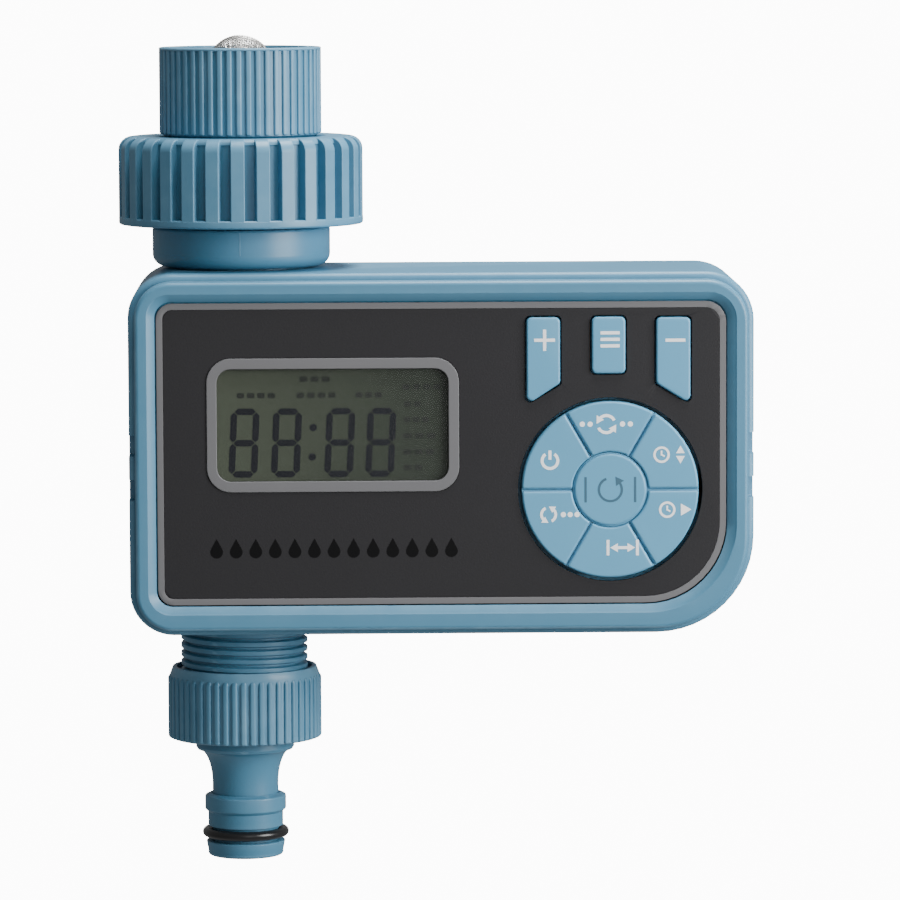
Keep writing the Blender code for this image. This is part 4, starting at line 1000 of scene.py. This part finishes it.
def window_finish():
    result = moulded("clear_window_finish", (0.05, 0.055, 0.05), (0.06, 0.06, 0.06), roughness=0.1,
                     bump=0.01, wear_and_highlight=0.0)
    result.node_tree.nodes["Principled BSDF"].inputs["Alpha"].default_value = 0.10
    result.node_tree.nodes["Principled BSDF"].inputs["Specular IOR Level"].default_value = 0.3
    return result


DISPLAY = display_finish()
WINDOW_CLEAR = window_finish()
SEGMENT_INK = moulded("segment_ink", (0.006, 0.007, 0.012), (0.03, 0.03, 0.04), roughness=0.6, specular=0.1)
FAINT_INK = moulded("faint_ink", (0.022, 0.027, 0.022), (0.05, 0.05, 0.05), roughness=0.6, specular=0.1)

# %% Display figures
DIGIT_LOW, DIGIT_HIGH, DIGIT_WIDE, STROKE, SLANT = -87.05, -72.95, 5.85, 1.3, 0.045
DIGIT_LEFTS = (-2.5, 6.15, 17.0, 25.35)


def segment(start, end, half=STROKE / 2, gap=0.14):
    """A hexagon from start to end, pointed at both, slanted with its height."""
    a, b = Vector(start), Vector(end)
    along = (b - a).normalized()
    side = Vector((along.y, -along.x))
    a, b = a + along * gap, b - along * gap
    points = (a, a + along * half + side * half, b - along * half + side * half, b,
              b - along * half - side * half, a + along * half - side * half)
    return [(x + SLANT * (z - DIGIT_LOW), z) for x, z in points]


def digit(left):
    half = STROKE / 2
    xs = (left + half, left + DIGIT_WIDE - half)
    zs = (DIGIT_LOW + half, (DIGIT_LOW + DIGIT_HIGH) / 2, DIGIT_HIGH - half)
    level = [segment((xs[0], z), (xs[1], z)) for z in zs]
    return level + [segment((x, zs[i]), (x, zs[i + 1])) for x in xs for i in (0, 1)]


def display():
    _, front, _, _, back, _ = span("lcd_display")
    left, _, low, right, _, high = span("lcd_display")
    glass = plate("display_sheet", [rectangle(left, right, high, low, [2.8] * 4)], front, back, DISPLAY, 0.1, 1)
    _, clear_front, _, _, clear_back, _ = span("lcd_window")
    clear = plate("window_sheet", [wider(WINDOW, -0.02, 2.7)], clear_front, clear_back, WINDOW_CLEAR, 0.1, 2)
    outlines = [outline for x in DIGIT_LEFTS for outline in digit(x)]
    outlines += [circle(14.85, -76.9, 0.75, 20), circle(14.6, -82.9, 0.75, 20)]
    figures = plate("display_figures", outlines, front - 0.05, front + 0.02, SEGMENT_INK)
    bars = [(12.1, 18.9, -67.0), (-0.7, 7.7, -70.3), (11.5, 20.1, -70.3), (23.5, 29.4, -70.3), (33.1, 41.4, -68.7),
            (33.4, 37.4, -72.2), (33.3, 38.9, -75.4), (33.2, 40.4, -78.7), (33.2, 40.0, -82.0), (33.3, 37.6, -85.2)]
    dashes = []
    for x0, x1, z in bars:
        count = max(2, round((x1 - x0) / 2.1))
        step = (x1 - x0) / count
        dashes += [rectangle(x0 + k * step, x0 + (k + 0.72) * step, z + 0.55, z - 0.55, [0.3] * 4, 3)
                   for k in range(count)]
    indicators = plate("display_indicators", dashes, front - 0.04, front + 0.02, FAINT_INK)
    for piece, slot in ((glass, "display"), (clear, "clear_window"), (figures, "display"), (indicators, "display")):
        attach(piece, "control_module")
    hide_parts("lcd_display")
    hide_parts("lcd_window")
    return len(outlines) + len(dashes)


print("display marks:", display())

# %% [markdown]
# ## Marks on the keys
# The keys are printed with plain signs: a cross, a bar, a menu, a loop, clocks, a switch. Each sign is one thin
# plate let into its cap, so it rides with its key. The centre key's return arrow is engraved in dark blue.

# %% Sign shapes
def bar(x0, x1, z0, z1, radius=0.12):
    return bar_outline(min(x0, x1), max(x0, x1), min(z0, z1), max(z0, z1), radius)


def band(x, z, radius, width, start=0, end=360, steps=36):
    """A stroke along an arc; a full circle gives its two rims."""
    outer, inner = radius + width / 2, radius - width / 2
    if end - start >= 360:
        return [circle(x, z, outer, steps), circle(x, z, inner, steps)]
    angles = [math.radians(start + (end - start) * k / steps) for k in range(steps + 1)]
    points = [(x + outer * math.cos(a), z + outer * math.sin(a)) for a in angles]
    return [points + [(x + inner * math.cos(a), z + inner * math.sin(a)) for a in reversed(angles)]]


def triangle(x, z, size, angle):
    """A solid arrowhead at a point, pointing along an angle in degrees."""
    return [(x + size * math.cos(math.radians(angle + turn)), z + size * math.sin(math.radians(angle + turn)))
            for turn in (0, -120, -240)]


def stroke(x0, z0, x1, z1, width):
    along = Vector((x1 - x0, z1 - z0)).normalized() * width / 2
    side = Vector((along.y, -along.x))
    a, b = Vector((x0, z0)), Vector((x1, z1))
    return [tuple(point) for point in (a - along + side, b + along + side, b + along - side, a - along - side)]


def loop_sign(x, z, radius, width, head, first=0):
    shapes = []
    for turn in (first, first + 180):
        shapes.append(band(x, z, radius, width, turn + 25, turn + 140, 16))
        tip = math.radians(turn + 148)
        shapes.append([triangle(x + radius * math.cos(tip), z + radius * math.sin(tip), head, turn + 148 + 90)])
    return shapes


def clock_sign(x, z, radius=1.45, width=0.48):
    return [band(x, z, radius, width), [stroke(x, z, x, z + 0.65, 0.36)], [stroke(x, z, x + 0.5, z - 0.28, 0.34)]]


print("sign shapes ready")

# %% Signs on each key
SIGNS = {
    "plus_key": [[bar(61.65, 62.3, -61.37, -57.03, 0.05)], [bar(59.84, 64.1, -59.52, -58.87, 0.05)]],
    "mode_key": [[bar(73.33, 77.27, z - 0.33, z + 0.33)] for z in (-57.76, -59.09, -60.42)],
    "minus_key": [[bar(86.55, 90.61, -59.65, -59.0, 0.05)]],
    "auto_key": [*loop_sign(74.5, -76.38, 1.75, 0.62, 1.0),
                 *[[circle(x, -76.38, 0.55, 16)] for x in (69.6, 71.2, 77.8, 79.4)]],
    "set_clock_key": [*clock_sign(85.75, -82.7), [triangle(89.6, -81.9, 1.05, 90)],
                      [triangle(89.6, -83.5, 1.05, 270)]],
    "start_time_key": [*clock_sign(86.9, -93.97), [triangle(90.4, -93.97, 1.45, 0)]],
    "how_long_key": [[bar(74.5, 75.1, -103.3, -100.1, 0.05)], [bar(80.5, 81.1, -103.3, -100.1, 0.05)],
                     [bar(76.4, 79.2, -102.0, -101.4, 0.05)], [triangle(76.3, -101.7, 1.05, 180)],
                     [triangle(79.3, -101.7, 1.05, 0)]],
    "how_often_key": [*loop_sign(62.7, -94.85, 1.45, 0.58, 0.85, 90),
                      *[[circle(x, -94.85, 0.55, 16)] for x in (65.7, 67.1, 68.5)]],
    "off_key": [band(63.0, -83.8, 1.6, 0.62, -235, 55, 24), [bar(62.69, 63.31, -83.6, -81.7, 0.1)]],
}
RESET_SIGN = [band(DISC_X, DISC_Z, 2.35, 0.5, -250, 40, 30), [triangle(DISC_X + 1.65, DISC_Z + 1.75, 1.15, 125)],
              [bar(70.0, 70.5, -92.4, -87.2, 0.05)], [bar(80.1, 80.6, -92.4, -87.2, 0.05)]]


def joined(name, pieces, material):
    work = bmesh.new()
    for piece in pieces:
        work.from_mesh(piece.data)
        bpy.data.objects.remove(piece)
    mesh = bpy.data.meshes.new(name)
    work.to_mesh(mesh)
    work.free()
    return shade(put_in_scene(name, mesh, material))


def sign(name, shapes, proud, material):
    """One plate for each shape, so that shapes may overlap; every plate is a hair lower than the one before."""
    front = span(name)[1]
    plates = [plate("part", shape, front - proud + 0.002 * i, front + 0.12, None) for i, shape in enumerate(shapes)]
    mark = joined(f"{name}_sign", plates, material)
    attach(mark, name)
    return mark


def key_marks():
    for name, shapes in SIGNS.items():
        sign(name, shapes, 0.03, WHITE_INK)
    sign("reset_key", RESET_SIGN, 0.02, DARK_BLUE_INK)


key_marks()
print("signs:", len(SIGNS) + 1)

# %% [markdown]
# ## Drops on the panel
# A row of gloss black drops is printed on the matt panel below the display. It shows only by its shine.

# %% Drops
def drop(x, low, high):
    radius = (high - low) / 3.1
    centre = low + radius
    round_part = [(x + radius * math.cos(math.radians(a)), centre + radius * math.sin(math.radians(a)))
                  for a in range(150, 391, 16)]
    return [(x, high)] + round_part


def printed_drops():
    outlines = [drop(x, -103.5, -99.5) for x in [-5.0 + 3.99 * k for k in range(13)]]
    front = PANEL_FRONT_Y + 0.03
    row = plate("panel_drops", outlines, front, front + 0.1, GLOSS_BLACK_INK)
    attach(row, "control_module")
    return len(outlines)


print("drops:", printed_drops())

# %% [markdown]
# ## Metal finish
# The filter, screws and springs are bright drawn or rolled steel: a full metal with fine scratches in its
# roughness and a little dulling in patches.

# %% Metal finish
def metal(name, colour, roughness, scratch=0.25):
    result, nodes, shader = blank_material(name)
    place = nodes.add("ShaderNodeTexCoord").outputs["Object"]
    stretched = nodes.add("ShaderNodeMapping", Vector=place, Scale=(900.0, 900.0, 60.0))
    lines = nodes.add("ShaderNodeTexNoise", Vector=stretched.outputs[0], Scale=1.0, Detail=4.0)
    cloud = nodes.add("ShaderNodeTexNoise", Vector=place, Scale=300.0)
    rough = nodes.math("ADD", roughness - scratch / 2, nodes.math("MULTIPLY", lines.outputs["Fac"], scratch))
    shade_mix = nodes.mix(cloud.outputs["Fac"], (*colour, 1), (*(value * 0.8 for value in colour), 1))
    bump = nodes.add("ShaderNodeBump", Strength=0.08, Distance=0.00005, Height=lines.outputs["Fac"])
    for value, socket in ((rough, "Roughness"), (shade_mix, "Base Color"), (bump.outputs[0], "Normal")):
        result.node_tree.links.new(value, shader.inputs[socket])
    shader.inputs["Metallic"].default_value = 1.0
    return result


STEEL = metal("steel_finish", (0.62, 0.61, 0.59), 0.35)
print("metal ready")

# %% [markdown]
# ## Filter
# The inlet filter is woven wire pressed into a dome. A tree weaves it: a square grid is cut to a circle, one copy
# keeps the wires that run one way and the other the rest, each is waved over and under, and both are bent over
# the dome before the wires are swept.

# %% Weave tree
def make_weave_tree():
    sizes = ("Dome_Radius", "Reach", "Wave", "Wire_Radius", "Centre_Height")
    tree, new, link, given = start_tree("woven_dome", **dict.fromkeys(sizes, "Float"), Lines="Int")
    calc = Nodes(tree).math
    grid = new("GeometryNodeMeshGrid")
    size = calc("MULTIPLY", given.outputs["Reach"], 2.0)
    for socket, value in (("Size X", size), ("Size Y", size), ("Vertices X", given.outputs["Lines"]),
                          ("Vertices Y", given.outputs["Lines"])):
        link(value, grid.inputs[socket])
    place = new("GeometryNodeInputPosition")
    far = new("ShaderNodeVectorMath")
    far.operation = "LENGTH"
    link(place.outputs[0], far.inputs[0])
    reach = far.outputs["Value"]
    trim = new("GeometryNodeDeleteGeometry")
    trim.domain = "POINT"
    link(grid.outputs["Mesh"], trim.inputs["Geometry"])
    link(calc("GREATER_THAN", reach, given.outputs["Reach"]), trim.inputs["Selection"])
    flat = new("ShaderNodeSeparateXYZ")
    link(place.outputs[0], flat.inputs[0])
    step = calc("DIVIDE", size, calc("SUBTRACT", given.outputs["Lines"], 1.0))
    count = calc("ROUND", calc("DIVIDE", calc("ADD", flat.outputs["X"], flat.outputs["Y"]), step))
    parity = calc("SUBTRACT", calc("MULTIPLY", calc("PINGPONG", count, 1.0), 2.0), 1.0)
    ends = new("GeometryNodeInputMeshEdgeVertices")
    run = new("ShaderNodeVectorMath")
    run.operation = "SUBTRACT"
    link(ends.outputs["Position 1"], run.inputs[0])
    link(ends.outputs["Position 2"], run.inputs[1])
    split = new("ShaderNodeSeparateXYZ")
    link(run.outputs[0], split.inputs[0])
    dome_r = given.outputs["Dome Radius"]
    quarter = calc("MULTIPLY", dome_r, math.pi / 2)
    on_dome = calc("MINIMUM", reach, quarter)
    below = calc("MAXIMUM", calc("SUBTRACT", reach, quarter), 0.0)
    angle = calc("DIVIDE", on_dome, dome_r)
    join = new("GeometryNodeJoinGeometry")
    for sign, axis in ((1.0, "X"), (-1.0, "Y")):
        keep = new("GeometryNodeDeleteGeometry")
        keep.domain = "EDGE"
        link(trim.outputs[0], keep.inputs["Geometry"])
        link(calc("GREATER_THAN", calc("ABSOLUTE", split.outputs[axis]), 1e-6), keep.inputs["Selection"])
        wave = calc("MULTIPLY", calc("MULTIPLY", parity, given.outputs["Wave"]), sign)
        radius = calc("ADD", dome_r, wave)
        out_r = calc("ADD", calc("MULTIPLY", calc("SINE", angle), radius), calc("MULTIPLY", below, 0.12))
        height = calc("SUBTRACT", calc("MULTIPLY", calc("COSINE", angle), radius), below)
        scale = calc("DIVIDE", out_r, calc("MAXIMUM", reach, 1e-7))
        target = new("ShaderNodeCombineXYZ")
        link(calc("MULTIPLY", flat.outputs["X"], scale), target.inputs["X"])
        link(calc("MULTIPLY", flat.outputs["Y"], scale), target.inputs["Y"])
        link(calc("ADD", height, given.outputs["Centre Height"]), target.inputs["Z"])
        bend = new("GeometryNodeSetPosition")
        link(keep.outputs[0], bend.inputs["Geometry"])
        link(target.outputs[0], bend.inputs["Position"])
        wires, sweep = new("GeometryNodeMeshToCurve"), new("GeometryNodeCurveToMesh")
        section = new("GeometryNodeCurvePrimitiveCircle")
        section.inputs["Resolution"].default_value = 4
        link(given.outputs["Wire Radius"], section.inputs["Radius"])
        link(bend.outputs[0], wires.inputs[0])
        link(wires.outputs[0], sweep.inputs["Curve"])
        link(section.outputs[0], sweep.inputs["Profile Curve"])
        sweep.inputs["Fill Caps"].default_value = True
        link(sweep.outputs[0], join.inputs[0])
    return end_tree(tree, given, join)


# %% Filter
def inlet_filter():
    _, _, low, rim_r, _, top = span("filter_dome")
    wire, wave = 0.09, 0.08
    dome_r = 7.0 - wire - wave
    mesh = grown("filter_mesh", make_weave_tree(), STEEL, Dome_Radius=dome_r * MM, Reach=18.4 * MM, Wave=wave * MM,
                 Wire_Radius=wire * MM, Centre_Height=(top - 7.0) * MM, Lines=71)
    shade(mesh, 60)
    rim = turned("filter_rim", [(8.2, low + 1.6), (8.6, low + 1.6),
                                *arc((rim_r - 0.4, low + 0.6), 0.4, 90, -90, 6), (8.0, low),
                                (8.0, low + 1.4)], STEEL, 72)
    for piece in (mesh, rim):
        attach(piece, "inlet_filter")
    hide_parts("filter_dome")
    return mesh


mesh_piece = inlet_filter()
print("filter_mesh", len(mesh_piece.data.polygons), "faces, box",
      [round(value / MM, 1) for value in mesh_piece.dimensions])

# %% [markdown]
# ## O-ring
# The connector's O-ring is a plain torus of rubber, closed round its groove.

# %% O-ring
def connector_ring():
    _, _, low, outer, _, high = span("connector_o_ring")
    section_r = (high - low) / 2
    centre = (outer - section_r, (high + low) / 2)
    ring = turned("connector_ring", arc(centre, section_r, 0, 345, 23), RUBBER)
    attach(ring, "hose_connector")
    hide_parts("connector_o_ring")
    return ring


print("o-ring", len(connector_ring().data.polygons), "faces")

# %% [markdown]
# ## Finishes for the pieces inside
# Everything behind the panel keeps the solid it was designed with and gets a finish by its kind: the circuit
# board has a green mask with fine tracks, the cells a wrap with plain colour bands, the rest plastic or metal.

# %% Board and cell finishes
def board_finish():
    result, nodes, shader = blank_material("board_finish")
    place = nodes.add("ShaderNodeTexCoord").outputs["Object"]
    flat = nodes.add("ShaderNodeMapping", Vector=place, Rotation=(math.pi / 2, 0, 0)).outputs[0]
    tracks = nodes.add("ShaderNodeTexBrick", Vector=flat, Scale=1.0, **{
        "Color1": (0.012, 0.105, 0.045, 1), "Color2": (0.016, 0.135, 0.058, 1), "Mortar": (0.035, 0.24, 0.095, 1),
        "Mortar Size": 0.0002, "Brick Width": 0.0085, "Row Height": 0.0024}).outputs["Color"]
    cells = nodes.add("ShaderNodeTexVoronoi", Vector=flat, Scale=240.0)
    pad = nodes.add("ShaderNodeMapRange", Value=cells.outputs["Distance"],
                    **{"From Min": 0.16, "From Max": 0.13}).outputs["Result"]
    grain_node = place_group(nodes, GRAIN, Color=nodes.mix(pad, tracks, (0.45, 0.44, 0.40, 1)), Roughness=0.35,
                             Grain_Size=0.2, Drift=0.05)
    bump_node = nodes.add("ShaderNodeBump", Strength=0.2, Distance=0.0001, Height=pad)
    for value, socket in ((grain_node.outputs["Color"], "Base Color"), (grain_node.outputs["Roughness"], "Roughness"),
                          (bump_node.outputs[0], "Normal")):
        result.node_tree.links.new(value, shader.inputs[socket])
    return result


def cell_finish():
    """A wrap with a plain blue body, one pale band and bare steel ends."""
    result, nodes, shader = blank_material("cell_finish")
    place = nodes.add("ShaderNodeTexCoord").outputs["Object"]
    height = nodes.add("ShaderNodeSeparateXYZ", Vector=place).outputs["Z"]
    _, _, low, _, _, high = span("battery_1")

    def above(level):
        return nodes.math("GREATER_THAN", height, level * MM)

    colour = nodes.mix(above(high - 14.0), (0.015, 0.05, 0.13, 1), (0.30, 0.36, 0.40, 1))
    colour = nodes.mix(above(high - 11.5), colour, (0.015, 0.05, 0.13, 1))
    bare = nodes.math("MAXIMUM", above(high - 1.9), nodes.math("LESS_THAN", height, (low + 0.9) * MM))
    grain_node = place_group(nodes, GRAIN, Color=nodes.mix(bare, colour, (0.60, 0.59, 0.57, 1)), Roughness=0.3,
                             Grain_Size=0.3, Drift=0.08)
    # Paler edges are partly worn and partly a painted highlight; creases are darkened with painted shade.
    wear_and_light_node = place_group(nodes, WEAR_AND_PAINTED_LIGHT, Color=grain_node.outputs["Color"], Edge_Color=(0.5, 0.5, 0.5, 1),
                            Wear=0.4, Crease=0.3)
    bump_node = nodes.add("ShaderNodeBump", Strength=0.04, Distance=0.0001, Height=grain_node.outputs["Height"])
    for value, socket in ((wear_and_light_node.outputs["Color"], "Base Color"), (grain_node.outputs["Roughness"], "Roughness"),
                          (bump_node.outputs["Normal"], "Normal"), (bare, "Metallic")):
        result.node_tree.links.new(value, shader.inputs[socket])
    return result


# %% Finish by kind
CHARCOAL_PARTS = moulded("charcoal_parts", (0.022, 0.022, 0.024), (0.08, 0.08, 0.085), roughness=0.5, wear_and_highlight=0.5,
                         specular=0.4)
FINISHES = {
    "blue": CASING_BLUE, "pale_blue": KEY_BLUE, "charcoal": CHARCOAL_PARTS, "white_plastic": WHITE_PLASTIC,
    "black_rubber": RUBBER, "red_wire": RED_WIRE, "stainless": STEEL, "board_green": board_finish(),
    "cell_wrap": cell_finish(), "grey": BORDER_GREY}
finished = 0
for node in frame["nodes"].values():
    for place in node.material_slots:
        if place.material and place.material.name in FINISHES:
            place.material = FINISHES[place.material.name]
            finished += 1
print("slots finished:", finished, "pieces of the CAD")
